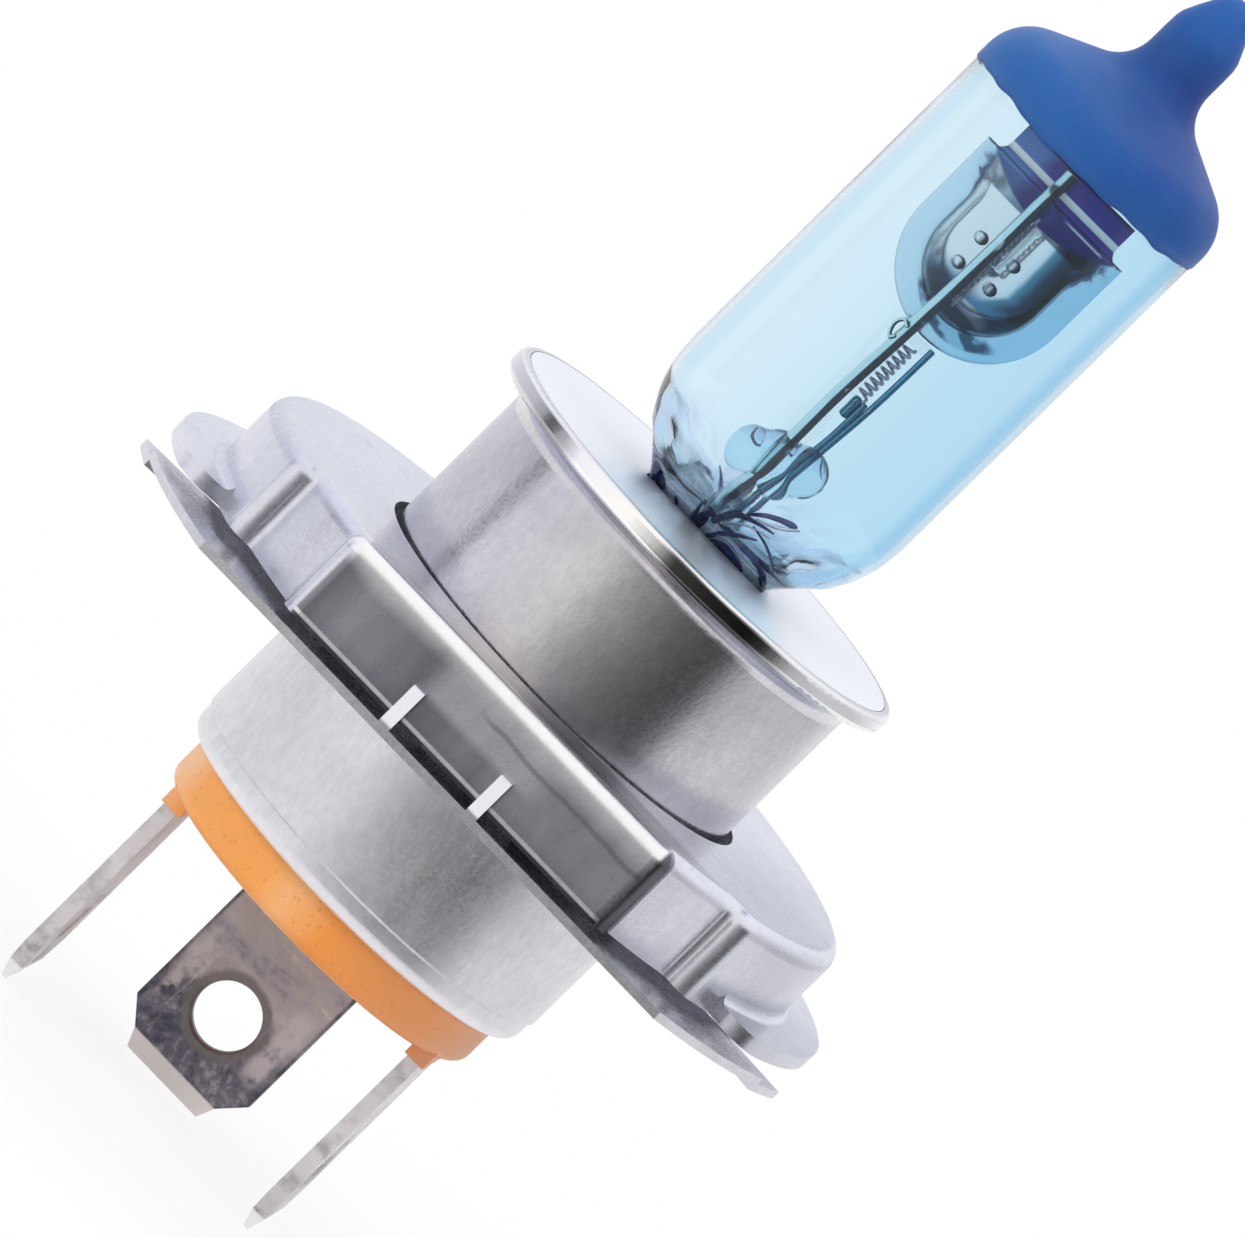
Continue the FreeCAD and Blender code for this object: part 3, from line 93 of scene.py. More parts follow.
class Shader:
    """A node material, or the world, built from short calls; add knows a node by its last words."""

    def __init__(self, name, owner=None, output="OutputMaterial"):
        self.material = owner or bpy.data.materials.new(name)
        self.material.use_nodes = True
        self.tree = self.material.node_tree
        self.tree.nodes.clear()
        self.output = self.add(output)
        self.place = self.add("TexCoord").outputs["Object"]

    def add(self, kind, inputs=None, **settings):
        node = self.tree.nodes.new("ShaderNode" + kind)
        for key, value in settings.items():
            setattr(node, key, value)
        for key, value in (inputs or {}).items():
            self.feed(node.inputs[key], value)
        return node

    def feed(self, socket, value):
        if isinstance(value, bpy.types.NodeSocket):
            self.tree.links.new(value, socket)
        elif isinstance(value, bpy.types.Node):
            self.tree.links.new(value.outputs[0], socket)
        elif socket.type == "RGBA" and isinstance(value, (int, float)):
            socket.default_value = (value, value, value, 1.0)
        elif socket.type == "RGBA" and len(value) == 3:
            socket.default_value = (*value, 1.0)
        else:
            socket.default_value = value

    def stretched(self, scale):
        return self.add("Mapping", {"Vector": self.place, "Scale": scale}).outputs[0]

    def noise(self, scale, detail=4.0, rough=0.6, stretch=(1, 1, 1), distortion=0.0):
        where = self.stretched(stretch) if stretch != (1, 1, 1) else self.place
        return self.add("TexNoise", {
            "Vector": where, "Scale": scale, "Detail": detail, "Roughness": rough,
            "Distortion": distortion}).outputs[0]

    def ramp(self, value, stops, mode="LINEAR"):
        """Colour (or grey level) along value; each stop is (position, grey or colour)."""
        node = self.add("ValToRGB", {"Fac": value})
        node.color_ramp.interpolation = mode
        points = node.color_ramp.elements
        while len(points) < len(stops):
            points.new(0.5)
        for point, (position, tint) in zip(points, stops):
            point.position = position
            point.color = (*tint, 1) if isinstance(tint, tuple) else (tint, tint, tint, 1)
        return node.outputs[0]

    def span(self, value, low, high, first=0.0, last=1.0):
        """Runs evenly from first, where value is low, to last, where it is high."""
        return self.ramp(value, [(low, first), (high, last)])

    def sway(self, noise, reach):
        """Noise as a shift to both sides of zero."""
        return self.times(self.minus(noise, 0.5), reach)

    def mix(self, amount, first, second, kind="MIX"):
        inputs = {0: amount, 6: first, 7: second}
        return self.add("Mix", inputs, data_type="RGBA", blend_type=kind).outputs[2]

    def math(self, operation, first, second=0.0, clamp=False):
        node = self.add("Math", {0: first, 1: second}, operation=operation)
        node.use_clamp = clamp
        return node.outputs[0]

    def plus(self, first, second):
        return self.math("ADD", first, second)

    def minus(self, first, second, clamp=False):
        return self.math("SUBTRACT", first, second, clamp)

    def times(self, first, second):
        return self.math("MULTIPLY", first, second)

    def power(self, first, second):
        return self.math("POWER", first, second)

    def highest(self, first, second):
        return self.math("MAXIMUM", first, second)

    def absolute(self, value):
        return self.math("ABSOLUTE", value)

    def axis(self, letter):
        return self.add("SeparateXYZ", {"Vector": self.place}).outputs[letter]

    def mm(self, letter):
        return self.times(self.axis(letter), 1000.0)

    def length(self, vector):
        return self.add("VectorMath", {0: vector}, operation="LENGTH").outputs["Value"]

    def combined(self, x, y, z=0.0):
        return self.add("CombineXYZ", {0: x, 1: y, 2: z}).outputs[0]

    def radius(self):
        """Distance from the bulb's axis in mm."""
        return self.length(self.combined(self.mm("X"), self.mm("Y")))

    def around(self, vector=None):
        """Angle about the z axis as a share of a turn, which starts behind the part."""
        return self.add("TexGradient", {"Vector": vector or self.place},
                        gradient_type="RADIAL").outputs["Fac"]

    def normal(self, letter):
        geometry = self.add("NewGeometry").outputs["Normal"]
        return self.add("SeparateXYZ", {"Vector": geometry}).outputs[letter]

    def rise(self, value, low, high):
        """Eases from 0 at low to 1 at high, which may be the smaller; places on the part are in mm."""
        share = self.math("DIVIDE", self.minus(value, low), high - low)
        return self.ramp(share, [(0.0, 0.0), (1.0, 1.0)], "EASE")

    def all_of(self, *shares):
        """The product of the shares; one given as (value, low, high) is a rise."""
        shares = [self.rise(*share) if isinstance(share, tuple) else share for share in shares]
        product = shares[0]
        for share in shares[1:]:
            product = self.times(product, share)
        return product

    def rays(self, *kinds):
        """1 for a ray of one of the kinds, such as Camera or Glossy."""
        path = self.add("LightPath").outputs
        seen = 0.0
        for kind in kinds:
            seen = self.highest(seen, path["Is %s Ray" % kind])
        return seen

    def bump(self, height, strength, distance):
        return self.add("Bump", {
            "Height": height, "Strength": strength, "Distance": distance * MM}).outputs[0]

    def surface(self, **inputs):
        """The principled shader; keywords use _ for a space."""
        named = {key.replace("_", " "): value for key, value in inputs.items()}
        node = self.add("BsdfPrincipled", named)
        self.feed(self.output.inputs["Surface"], node)
        return self.material


def satin_metal(name, dark, light, rough, grain, grain_depth, dress=None):
    """Bare sheet metal: fine grain, drawn out along z where grain is under 1, blotches and scuffs."""
    s = Shader(name)
    blotches = s.noise(90.0, 5.0)
    fine = s.noise(2600.0, 3.0, 0.7, stretch=(1, 1, grain))
    speckle = s.noise(5200.0, 2.0)
    scuffs = s.noise(420.0, 6.0, 0.75, stretch=(1, 1, 0.25), distortion=1.5)
    tone = s.mix(s.span(blotches, 0.3, 0.7), dark, light)
    tone = s.mix(s.span(fine, 0.35, 0.65, 0.22, 0.0), tone, tuple(0.6 * c for c in dark))
    roughness = s.plus(s.span(scuffs, 0.35, 0.7, rough[0], rough[1]),
                       s.span(speckle, 0.4, 0.75, 0.0, 0.08))
    grit = s.plus(fine, s.times(speckle, 0.6))
    metallic = 1.0
    if dress:
        tone, roughness, metallic = dress(s, tone, roughness)
    return s.surface(Base_Color=tone, Metallic=metallic, Roughness=roughness,
                     Normal=s.bump(grit, 0.6, grain_depth))


def dress_sleeve(s, tone, roughness):
    """The sleeve's lip is rolled smooth and carries a painted reflection of the room, light and dark
    stretches round it, light along its top.
    """
    smooth = s.rise(s.radius(), 12.15, 12.45)
    wavy = s.plus(s.around(), s.sway(s.noise(300.0, 2.0, 0.5), 0.03))
    # Painted reflection: light and dark stretches by angle round the lip.
    painted_lip_reflection = s.ramp(wavy, [
        (0.0, 0.9), (0.1, 0.62), (0.125, 0.34), (0.15, 0.4), (0.172, 0.98), (0.24, 1.0), (0.252, 0.02),
        (0.285, 0.003), (0.315, 0.004), (0.335, 0.24), (0.37, 0.72), (0.45, 0.9), (0.56, 0.95), (0.7, 0.3),
        (0.74, 0.25), (0.8, 0.95), (1.0, 0.9)])
    # The top of the lip is painted light, above the painted stretches.
    low = s.rise(s.plus(s.mm("Z"), s.times(s.noise(260.0, 2.0, 0.5), 0.15)), 13.98, 13.84)
    painted_lip_reflection = s.mix(s.times(low, 0.9), 0.95, painted_lip_reflection)
    return s.mix(smooth, tone, painted_lip_reflection), s.mix(smooth, roughness, 0.1), 1.0


def dress_flange(s, tone, roughness):
    """Painted light and shade on the hat's flat, rounded edges and top beside the sleeve, with a painted
    reflection of the sleeve on the top and random grime over all.
    """
    x, y, z = s.mm("X"), s.mm("Y"), s.mm("Z")
    nx, ny, nz = s.normal("X"), s.normal("Y"), s.normal("Z")
    bands = s.noise(150.0, 3.0, 0.55, stretch=(1, 1, 0.12))
    grime = s.noise(420.0, stretch=(1, 1, 0.5))
    front = s.rise(y, -15.2, -15.45)
    flat = s.all_of(front, (ny, -0.88, -0.97))
    # Bands of painted highlight and shade across the front flat, painted darker low down.
    shade = s.mix(s.span(bands, 0.36, 0.64), (0.26, 0.26, 0.3), (0.52, 0.52, 0.58))
    shade = s.mix(s.rise(z, 0.6, -1.0), shade, s.mix(s.span(bands, 0.4, 0.6), (0.22, 0.22, 0.26),
                                                     (0.34, 0.34, 0.39)))
    # A patch of painted highlight in the middle of the flat.
    patch = s.all_of((x, -4.0, -2.4), (x, 4.6, 3.2), (z, 0.8, 1.4))
    shade = s.mix(s.times(patch, 0.8), shade, (0.72, 0.71, 0.78))
    # The flat's upper part is painted lighter, with a thin line of painted shade under it on the right.
    fade = s.plus(z, s.sway(bands, 1.5))
    shade = s.mix(s.rise(fade, 2.4, 3.5), shade, (0.84, 0.84, 0.87))
    painted_ridge_shade = s.all_of((fade, 2.15, 2.3), (fade, 2.55, 2.4), (x, -1.0, 0.5))
    shade = s.mix(s.times(painted_ridge_shade, 0.45), shade, (0.16, 0.16, 0.19))
    # A line of painted highlight near the flat's bottom, and painted shadow of the gap below it.
    shade = s.mix(s.all_of((z, -0.36, -0.42), (z, -0.62, -0.56)), shade, (0.82, 0.82, 0.86))
    shade = s.mix(s.rise(z, -0.58, -0.66), shade, (0.08, 0.08, 0.1))
    tone = s.mix(flat, tone, shade)
    # Painted highlight along the rounded top edge of the flat.
    edge = s.all_of((y, -14.2, -14.6), (nz, 0.1, 0.22), (nz, 0.94, 0.86), (ny, -0.2, -0.4))
    tone = s.mix(edge, tone, (0.96, 0.96, 0.97))
    # Painted shade in the crease along the top behind that edge.
    crease = s.all_of((y, -13.0, -13.8), (nz, 0.86, 0.93), (x, -10.4, -9.4), (x, 10.4, 9.4))
    tone = s.mix(s.times(crease, 0.75), tone, (0.2, 0.2, 0.22))
    # Painted shade on the rounded corner at the right end.
    corner = s.all_of((y, -13.9, -14.3), (x, 9.6, 10.2), (nx, 0.25, 0.5))
    tone = s.mix(corner, tone, (0.13, 0.13, 0.15))
    # A painted reflection of the sleeve on the top, in a strip near the front.
    top = s.rise(nz, 0.9, 0.98)
    strip = s.all_of(top, (y, -10.6, -11.6))
    painted_sleeve_reflection = s.ramp(s.plus(s.times(x, 0.05), 0.5), [
        (0.0, (0.8, 0.79, 0.8)), (0.48, (0.86, 0.82, 0.8)), (0.56, (0.3, 0.28, 0.3)),
        (0.66, (0.1, 0.09, 0.1)), (0.8, (0.26, 0.25, 0.28)), (1.0, (0.4, 0.4, 0.46))])
    tone = s.mix(s.times(strip, 0.8), tone, painted_sleeve_reflection)
    # Painted shade on the top's front right and on the right side.
    far = s.all_of(top, (x, 8.0, 14.5), (y, 12.0, -4.0))
    tone = s.mix(s.times(far, 0.75), tone, (0.44, 0.47, 0.56))
    side = s.all_of((x, 14.0, 18.0), (nz, 0.5, 0.3))
    tone = s.mix(s.times(side, 0.45), tone, (0.52, 0.52, 0.58))
    tone = s.mix(s.span(grime, 0.58, 0.75, 0.0, 0.25), tone, (0.4, 0.4, 0.45))
    return tone, roughness, 1.0


def dress_spring(s, tone, roughness):
    """The two crimp tabs stand up against the flange's flat, with a painted highlight on one side and
    painted shade on the side facing +x.
    """
    tab = s.all_of((s.mm("Z"), -1.22, -1.05), (s.mm("Y"), -15.4, -15.6))
    # Painted shade on the side facing +x, a painted highlight on the other.
    painted_dark_side = s.rise(s.normal("X"), 0.4, 0.8)
    tone = s.mix(tab, tone, s.mix(painted_dark_side, (0.9, 0.88, 0.93), (0.05, 0.05, 0.06)))
    return tone, s.mix(tab, roughness, 0.5), s.mix(tab, 1.0, 0.35)


def dress_cup(s, tone, roughness):
    """The cup's rolled lower edge is duller and carries a painted highlight."""
    # Painted highlight along the lower edge, which is also rougher and less metallic.
    low = s.rise(s.mm("Z"), -9.0, -11.0)
    return s.mix(low, tone, (0.9, 0.89, 0.93)), s.mix(low, roughness, 0.42), s.mix(low, 0.94, 0.55)


def dress_disc(s, tone, roughness):
    """The disc's middle is duller than its rim and painted lighter, a painted light where it mirrors the
    dark foot of the glass.
    """
    # The middle is painted lighter, and made rougher and less metallic.
    middle = s.rise(s.radius(), 12.7, 12.0)
    return s.mix(middle, tone, (0.92, 0.94, 0.99)), s.mix(middle, roughness, 0.3), s.mix(middle, 1.0, 0.72)


def polished_metal(name, tint):
    """Smooth bright metal with hair scratches."""
    s = Shader(name)
    hairs = s.noise(1800.0, 3.0, 0.7, stretch=(0.15, 0.15, 3.0))
    cloud = s.noise(200.0)
    tone = s.mix(s.span(cloud, 0.3, 0.75, 0.0, 0.35), tint, tuple(0.72 * c for c in tint))
    return s.surface(Base_Color=tone, Metallic=1.0, Roughness=s.span(hairs, 0.3, 0.7, 0.08, 0.16),
                     Normal=s.bump(hairs, 0.25, 0.002))


def tarnished_metal(name, across, pale=0.0):
    """Tinned brass gone dull: grey-brown above, dark and bluish below the hole; pale is the wear."""
    s = Shader(name)
    width, z = s.mm(across), s.mm("Z")
    cloud = s.noise(300.0, 6.0, 0.7, distortion=1.0)
    patch = s.noise(620.0)
    streak = s.noise(500.0, 4.0, 0.65, stretch=(0.25, 0.25, 1.0), distortion=0.6)
    scratch = s.noise(1500.0, 3.0, 0.7, stretch=(1, 1, 0.08))
    fine = s.noise(1900.0, 4.0, 0.7)
    above = s.ramp(s.plus(s.times(streak, 0.7), s.times(fine, 0.3)), [
        (0.36, (0.3, 0.28, 0.32)), (0.46, (0.44, 0.41, 0.44)), (0.54, (0.5, 0.46, 0.45)),
        (0.64, (0.62, 0.6, 0.65))])
    below = s.ramp(s.plus(s.times(cloud, 0.65), s.times(fine, 0.35)), [
        (0.38, (0.03, 0.03, 0.06)), (0.48, (0.085, 0.08, 0.125)), (0.56, (0.17, 0.16, 0.2)),
        (0.66, (0.44, 0.43, 0.47))])
    uneven = s.plus(z, s.sway(patch, 5.0))
    tone = s.mix(s.rise(uneven, -18.8, -22.6), above, below)
    flank = s.rise(s.absolute(width), 2.1, 2.6)
    worn = s.all_of(flank, (s.absolute(width), 3.6, 3.2), (z, -22.8, -21.6), (z, -17.4, -18.2),
                    s.span(patch, 0.4, 0.5))
    tone = s.mix(s.times(worn, 0.85), tone, (0.6, 0.55, 0.57))
    reach = s.length(s.combined(width, s.minus(z, BLADE_HOLE)))
    ring = s.all_of((reach, 1.7, 1.8), (s.plus(reach, s.times(patch, 0.5)), 2.7, 2.35))
    tone = s.mix(s.times(ring, 0.85), tone, (0.19, 0.17, 0.165))
    rim = s.all_of((s.absolute(width), 3.62, 3.82), s.span(patch, 0.35, 0.6, 1.0, 0.45))
    tone = s.mix(s.times(rim, 1.0 - pale), tone, (0.06, 0.06, 0.08))
    tone = s.mix(s.span(scratch, 0.6, 0.74, 0.0, 0.25), tone, (0.8, 0.8, 0.84))
    tone = s.mix(s.times(s.span(patch, 0.34, 0.52, 0.4, 1.0), pale), tone, (0.8, 0.76, 0.78))
    nose = s.rise(z, -24.25, -24.4)
    tone = s.mix(nose, tone, (0.95, 0.95, 0.95))
    rough = s.plus(s.span(cloud, 0.3, 0.7, 0.5, 0.34), s.span(scratch, 0.4, 0.7, 0.0, 0.08))
    return s.surface(Base_Color=tone, Metallic=s.mix(nose, 0.45, 0.15), Roughness=rough,
                     Normal=s.bump(s.plus(scratch, s.times(cloud, 0.5)), 0.5, 0.008))


def orange_plastic():
    """Moulded heat-proof resin: slight mottling, darker specks, soft sheen, and painted light along x, pale
    at the left end and darker to the right.
    """
    s = Shader("orange_resin")
    cloud = s.noise(260.0, 5.0)
    speck = s.noise(3200.0, 2.0, 0.5)
    # Painted light along x: a pale highlight at the left end, a lighter band near the middle, shade to the
    # right.
    along = s.plus(s.times(s.mm("X"), 0.05), 0.5)
    along = s.plus(along, s.sway(cloud, 0.12))
    tone = s.ramp(along, [(0.02, (0.92, 0.52, 0.28)), (0.1, (0.92, 0.38, 0.09)), (0.36, (0.9, 0.36, 0.08)),
                          (0.45, (0.9, 0.44, 0.17)), (0.56, (0.86, 0.3, 0.05)), (0.74, (0.8, 0.3, 0.08)),
                          (0.88, (0.74, 0.29, 0.1)), (0.98, (0.68, 0.33, 0.18))])
    tone = s.mix(s.span(speck, 0.62, 0.78, 0.0, 0.45), tone, (0.42, 0.14, 0.04))
    return s.surface(Base_Color=tone, Roughness=s.span(cloud, 0.3, 0.7, 0.42, 0.55),
                     Specular_IOR_Level=0.45, Subsurface_Weight=0.12, Subsurface_Scale=0.0008,
                     Normal=s.bump(s.plus(speck, cloud), 0.4, 0.01))


def drawn_glass(s, tint, deeper, shift):
    """Waves of drawn glass, the place across it, and a tint that deepens to the right, a painted shade."""
    drawn = s.noise(160.0, 2.0, 0.5, stretch=(1, 1, 0.12))
    lumps = s.noise(90.0, 2.0, 0.5)
    across = s.plus(s.times(s.axis("X"), 62.0), s.times(s.noise(60.0, 3.0, 0.5), 0.2))
    # Painted shade: the tint deepens to the right.
    shade = s.mix(s.span(s.plus(across, shift), 0.0, 1.0), tint, deeper)
    return s.plus(drawn, lumps), lumps, across, shade


def clear_surface(s, shade, lumps, height, strength, depth):
    return s.surface(Base_Color=shade, Transmission_Weight=1.0, IOR=1.46,
                     Roughness=s.span(lumps, 0.2, 0.9, 0.0, 0.015), Normal=s.bump(height, strength, depth))


def bead_melt():
    """The pale glass of the bead, with the faint waviness of drawn glass."""
    s = Shader("bead_glass")
    drawn, lumps, across, shade = drawn_glass(s, (0.68, 0.86, 0.95), (0.6, 0.82, 0.93), 0.4)
    return clear_surface(s, shade, lumps, drawn, 0.35, 0.01)


def tip_paint():
    """Opaque lacquer dipped over the glass: lighter low down, violet near the neck, and painted light on
    the left side.
    """
    s = Shader("tip_lacquer")
    height = s.times(s.minus(s.mm("Z"), PAINT_START), 1 / PAINT_LENGTH)
    cloud = s.noise(240.0)
    along = s.plus(height, s.sway(cloud, 0.25))
    # Painted light on the left side of the tip.
    left = s.span(s.plus(s.times(s.axis("X"), -75.0), 0.35), 0.1, 0.9)
    tone = s.ramp(along, [(0.0, (0.015, 0.09, 0.32)), (0.25, (0.01, 0.062, 0.26)),
                          (0.55, (0.011, 0.036, 0.2)), (0.75, (0.011, 0.064, 0.27)),
                          (0.95, (0.014, 0.08, 0.31))])
    tone = s.mix(s.times(left, 0.8), tone, (0.026, 0.13, 0.38))
    speck = s.noise(2600.0, 2.0)
    tone = s.mix(s.span(speck, 0.6, 0.8, 0.0, 0.18), tone, (0.04, 0.15, 0.42))
    return s.surface(Base_Color=tone, Roughness=s.span(cloud, 0.3, 0.7, 0.42, 0.55),
                     Specular_IOR_Level=0.28,
                     Normal=s.bump(s.plus(speck, s.times(cloud, 2.0)), 0.35, 0.01))


# ---- mesh helpers

def finish_piece(obj, material, nodes):
    """Dresses a mesh, puts it on the part's body and hides the CAD nodes it stands for."""
    obj.data.materials.clear()
    obj.data.materials.append(material)
    for polygon in obj.data.polygons:
        polygon.use_smooth = True
    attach(obj, "root")
    if nodes:
        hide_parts(*nodes)


def thicken(obj, thickness):
    solid = obj.modifiers.new("sheet", "SOLIDIFY")
    solid.thickness = thickness * MM
    solid.offset = -1.0


def new_object(name, data):
    obj = bpy.data.objects.new(name, data)
    bpy.context.scene.collection.objects.link(obj)
    return obj


def new_mesh(name, points, faces):
    mesh = bpy.data.meshes.new(name)
    mesh.from_pydata([Vector(p) * MM for p in points], [], faces)
    mesh.validate()
    mesh.update()
    return new_object(name, mesh)


def smooth_path(points, per_run=10):
    """A Catmull-Rom curve through the points."""
    pts = [Vector(p) for p in points]
    ends = [pts[0] * 2 - pts[1]] + pts + [pts[-1] * 2 - pts[-2]]
    out = []
    for n in range(1, len(ends) - 2):
        a, b, c, d = ends[n - 1], ends[n], ends[n + 1], ends[n + 2]
        for step in range(per_run):
            t = step / per_run
            out.append(0.5 * ((2 * b) + (c - a) * t + (2 * a - 5 * b + 4 * c - d) * t ** 2
                              + (3 * b - a - 3 * c + d) * t ** 3))
    out.append(pts[-1])
    return out


def stations(rows, height):
    """Smoothly interpolated values of a table whose rows start with a height."""
    for low, high in zip(rows, rows[1:]):
        if height <= high[0]:
            t = (height - low[0]) / (high[0] - low[0])
            t = max(0.0, min(1.0, t))
            return [a + (b - a) * t for a, b in zip(low[1:], high[1:])]
    return list(rows[-1][1:])


def angles(count):
    """Equal steps of one turn."""
    return [TAU * step / count for step in range(count)]


def waves(angle, *rows):
    """A sum of sines; each row holds a height, a count per turn and a start."""
    return sum(height * math.sin(count * angle + start) for height, count, start in rows)


def oval_ring(height, half_x, half_y, power, ripple=None, count=192):
    """One ring of a superellipse; ripple(angle) moves a point in or out, and up or down."""
    ring = []
    for angle in angles(count):
        c, s = math.cos(angle), math.sin(angle)
        x = math.copysign(abs(c) ** (2 / power), c) * half_x
        y = math.copysign(abs(s) ** (2 / power), s) * half_y
        grow, lift = ripple(angle) if ripple else (0.0, 0.0)
        ring.append((x * (1 + grow), y * (1 + grow), height + lift))
    return ring


def skin(rings, close_start=True):
    """Joins rings of the same length; a ring of one point closes to a tip."""
    points, faces, starts = [], [], []
    for ring in rings:
        starts.append((len(points), len(ring)))
        points.extend(ring)
    for (low, size_low), (high, size_high) in zip(starts, starts[1:]):
        count = max(size_low, size_high)
        for step in range(count):
            following = (step + 1) % count
            if size_low == 1:
                faces.append((low, high + following, high + step))
            elif size_high == 1:
                faces.append((low + step, low + following, high))
            else:
                faces.append((low + step, low + following, high + following, high + step))
    if close_start and len(rings[0]) > 1:
        faces.append(tuple(reversed(range(len(rings[0])))))
    if len(rings[-1]) > 1:
        faces.append(tuple(range(starts[-1][0], len(points))))
    return points, faces


def skin_piece(name, rings, material, nodes):
    finish_piece(new_mesh(name, *skin(rings)), material, nodes)


def tube(name, path, radius, sides=14):
    """A round wire along the path with rounded ends."""
    last = len(path) - 1
    tangents = [(path[min(n + 1, last)] - path[max(n - 1, 0)]).normalized() for n in range(last + 1)]
    normal = tangents[0].orthogonal().normalized()
    rings = []

    def add_ring(centre, reach):
        rings.append([centre + (normal * math.cos(angle) + other * math.sin(angle)) * reach
                      for angle in angles(sides)])

    for n, (centre, tangent) in enumerate(zip(path, tangents)):
        normal = (normal - tangent * normal.dot(tangent)).normalized()
        other = tangent.cross(normal)
        if n == 0:
            add_ring(centre, radius * 0.75)
            add_ring(centre + tangent * radius * 0.3, radius)
        elif n == last:
            add_ring(centre - tangent * radius * 0.3, radius)
            add_ring(centre, radius * 0.75)
        else:
            add_ring(centre, radius)
    return new_mesh(name, *skin(rings))


# ---- glass envelope and paint

def dome_profile(offset=0.0):
    """Radius and height from the tube's upper end over the dome and pip to the tip."""
    slope = math.radians(26.0)
    sine, cosine = math.sin(slope), math.cos(slope)
    shoulder, centre, base = 2.6 + offset, 4.55, DOME_START
    crest = (centre + shoulder * sine, base + shoulder * cosine)
    hollow = 2.4 - offset
    foot_x = 4.25 - hollow * sine
    foot_z = crest[1] + (crest[0] - foot_x) * sine / cosine
    pip = 1.85 + offset
    rows = [(TUBE_RADIUS + offset, PAINT_START), (TUBE_RADIUS + offset, base)]
    for step in range(1, 13):
        turn = (math.pi / 2 - slope) * step / 12
        rows.append((centre + shoulder * math.cos(turn), base + shoulder * math.sin(turn)))
    hollow_z = foot_z + hollow * cosine
    for step in range(0, 11):
        turn = math.pi * 1.5 - slope - (math.pi / 2 - slope) * step / 10
        rows.append((4.25 + hollow * math.cos(turn), hollow_z + hollow * math.sin(turn)))
    top = hollow_z + 1.9
    nose = top + 1.6 + offset / 2
    end = nose + 0.8 + offset / 2
    rows += [(pip, hollow_z + 0.9), (pip - 0.02, top - 0.25), (pip - 0.1, top + 0.15),
             (pip - 0.42, top + 0.85), (1.06 + offset, nose - 0.08), (0.86 + offset, nose + 0.32),
             (0.55, end - 0.16), (0.25, end - 0.03), (0.0, end)]
    return rows


def circle_ring(radius, height):
    return oval_ring(height, radius, radius, ROUND)


def taper_height(step):
    return TAPER_START + TAPER_LENGTH * step / TAPER_STEPS


def make_glass():
    """The blown tube with its hollow, from the pinch over the taper and the dome to the pip."""
    def fold(depth):
        """Pressed folds of the glass where it closes onto the pinch."""
        def ripple(angle):
            wave = waves(angle, (0.5, 3, 0.6), (0.3, 7, 2.1), (0.2, 13, 0.0))
            return depth * wave * 0.55, depth * wave
        return ripple

    outer = [oval_ring(height, *PINCH) for height in (3.0, 3.2, 8.0, 12.5, 13.6)]
    for step in range(TAPER_STEPS + 1):
        height = taper_height(step)
        depth = 0.03 * max(0.0, 1 - step / 12)
        outer.append(oval_ring(height, *stations(TAPER, height), fold(depth)))
    outer += [circle_ring(TUBE_RADIUS, height) for height in TUBE_HEIGHTS]
    for radius, height in dome_profile():
        outer.append(circle_ring(radius, height) if radius > 0 else [(0, 0, height)])
    inner = [[(0, 0, 44.1)]]
    for radius, height in ((1.2, 43.9), (3.2, 43.1), (4.7, 42.6), (5.8, 41.9), (6.5, 41.1),
                           (HOLLOW_RADIUS, DOME_START)):
        inner.append(circle_ring(radius, height))
    inner += [circle_ring(HOLLOW_RADIUS, height) for height in reversed(TUBE_HEIGHTS)]
    for step in range(TAPER_STEPS, 4, -1):
        height = taper_height(step)
        half_x, half_y, power = stations(TAPER, height)
        depth = max(0.0, 1 - (step - 4) / 13)
        inner.append(oval_ring(height, half_x - 0.33 - 0.3 * depth, half_y - 0.33 - 0.3 * depth,
                               max(ROUND, power * 0.9), fold(0.16 * depth)))
    inner.append(oval_ring(15.0, 3.1, 1.6, ROUND, fold(0.34)))
    inner.append(oval_ring(14.85, 1.4, 0.7, ROUND, fold(0.3)))
    inner.append([(0, 0, 14.8)])
    points, faces = skin(outer)
    more_points, more_faces = skin(inner)
    shift = len(points)
    faces += [tuple(index + shift for index in face) for face in more_faces]
    obj = new_mesh("glass_envelope_blown", points + more_points, faces)
    finish_piece(obj, glass, ("glass_envelope",))


def make_paint():
    """The lacquer follows the dome; its lower border is a little uneven."""
    outer = dome_profile(0.1)
    inner = dome_profile(0.015)
    rings = []
    for radius, height in list(reversed(inner))[1:] + outer:
        ring = []
        for angle in angles(192):
            border = 0.08 + waves(angle, (0.07, 5, 1.0), (0.05, 11, 0.0), (0.04, 23, 2.0))
            lift = border if height < PAINT_START + 0.1 else 0.0
            ring.append((radius * math.cos(angle), radius * math.sin(angle), height + lift))
        rings.append(ring if radius > 0 else [(0, 0, height)])
    obj = new_mesh("tip_lacquer_coat", *skin(rings, close_start=False))
    finish_piece(obj, lacquer, ("tip_coating",))


# ---- inside the glass

def grid_faces(rows, columns):
    """Faces between rows + 1 rows of columns + 1 points."""
    return [(a, a + 1, a + columns + 2, a + columns + 1)
            for row in range(rows) for a in range(row * (columns + 1), row * (columns + 1) + columns)]


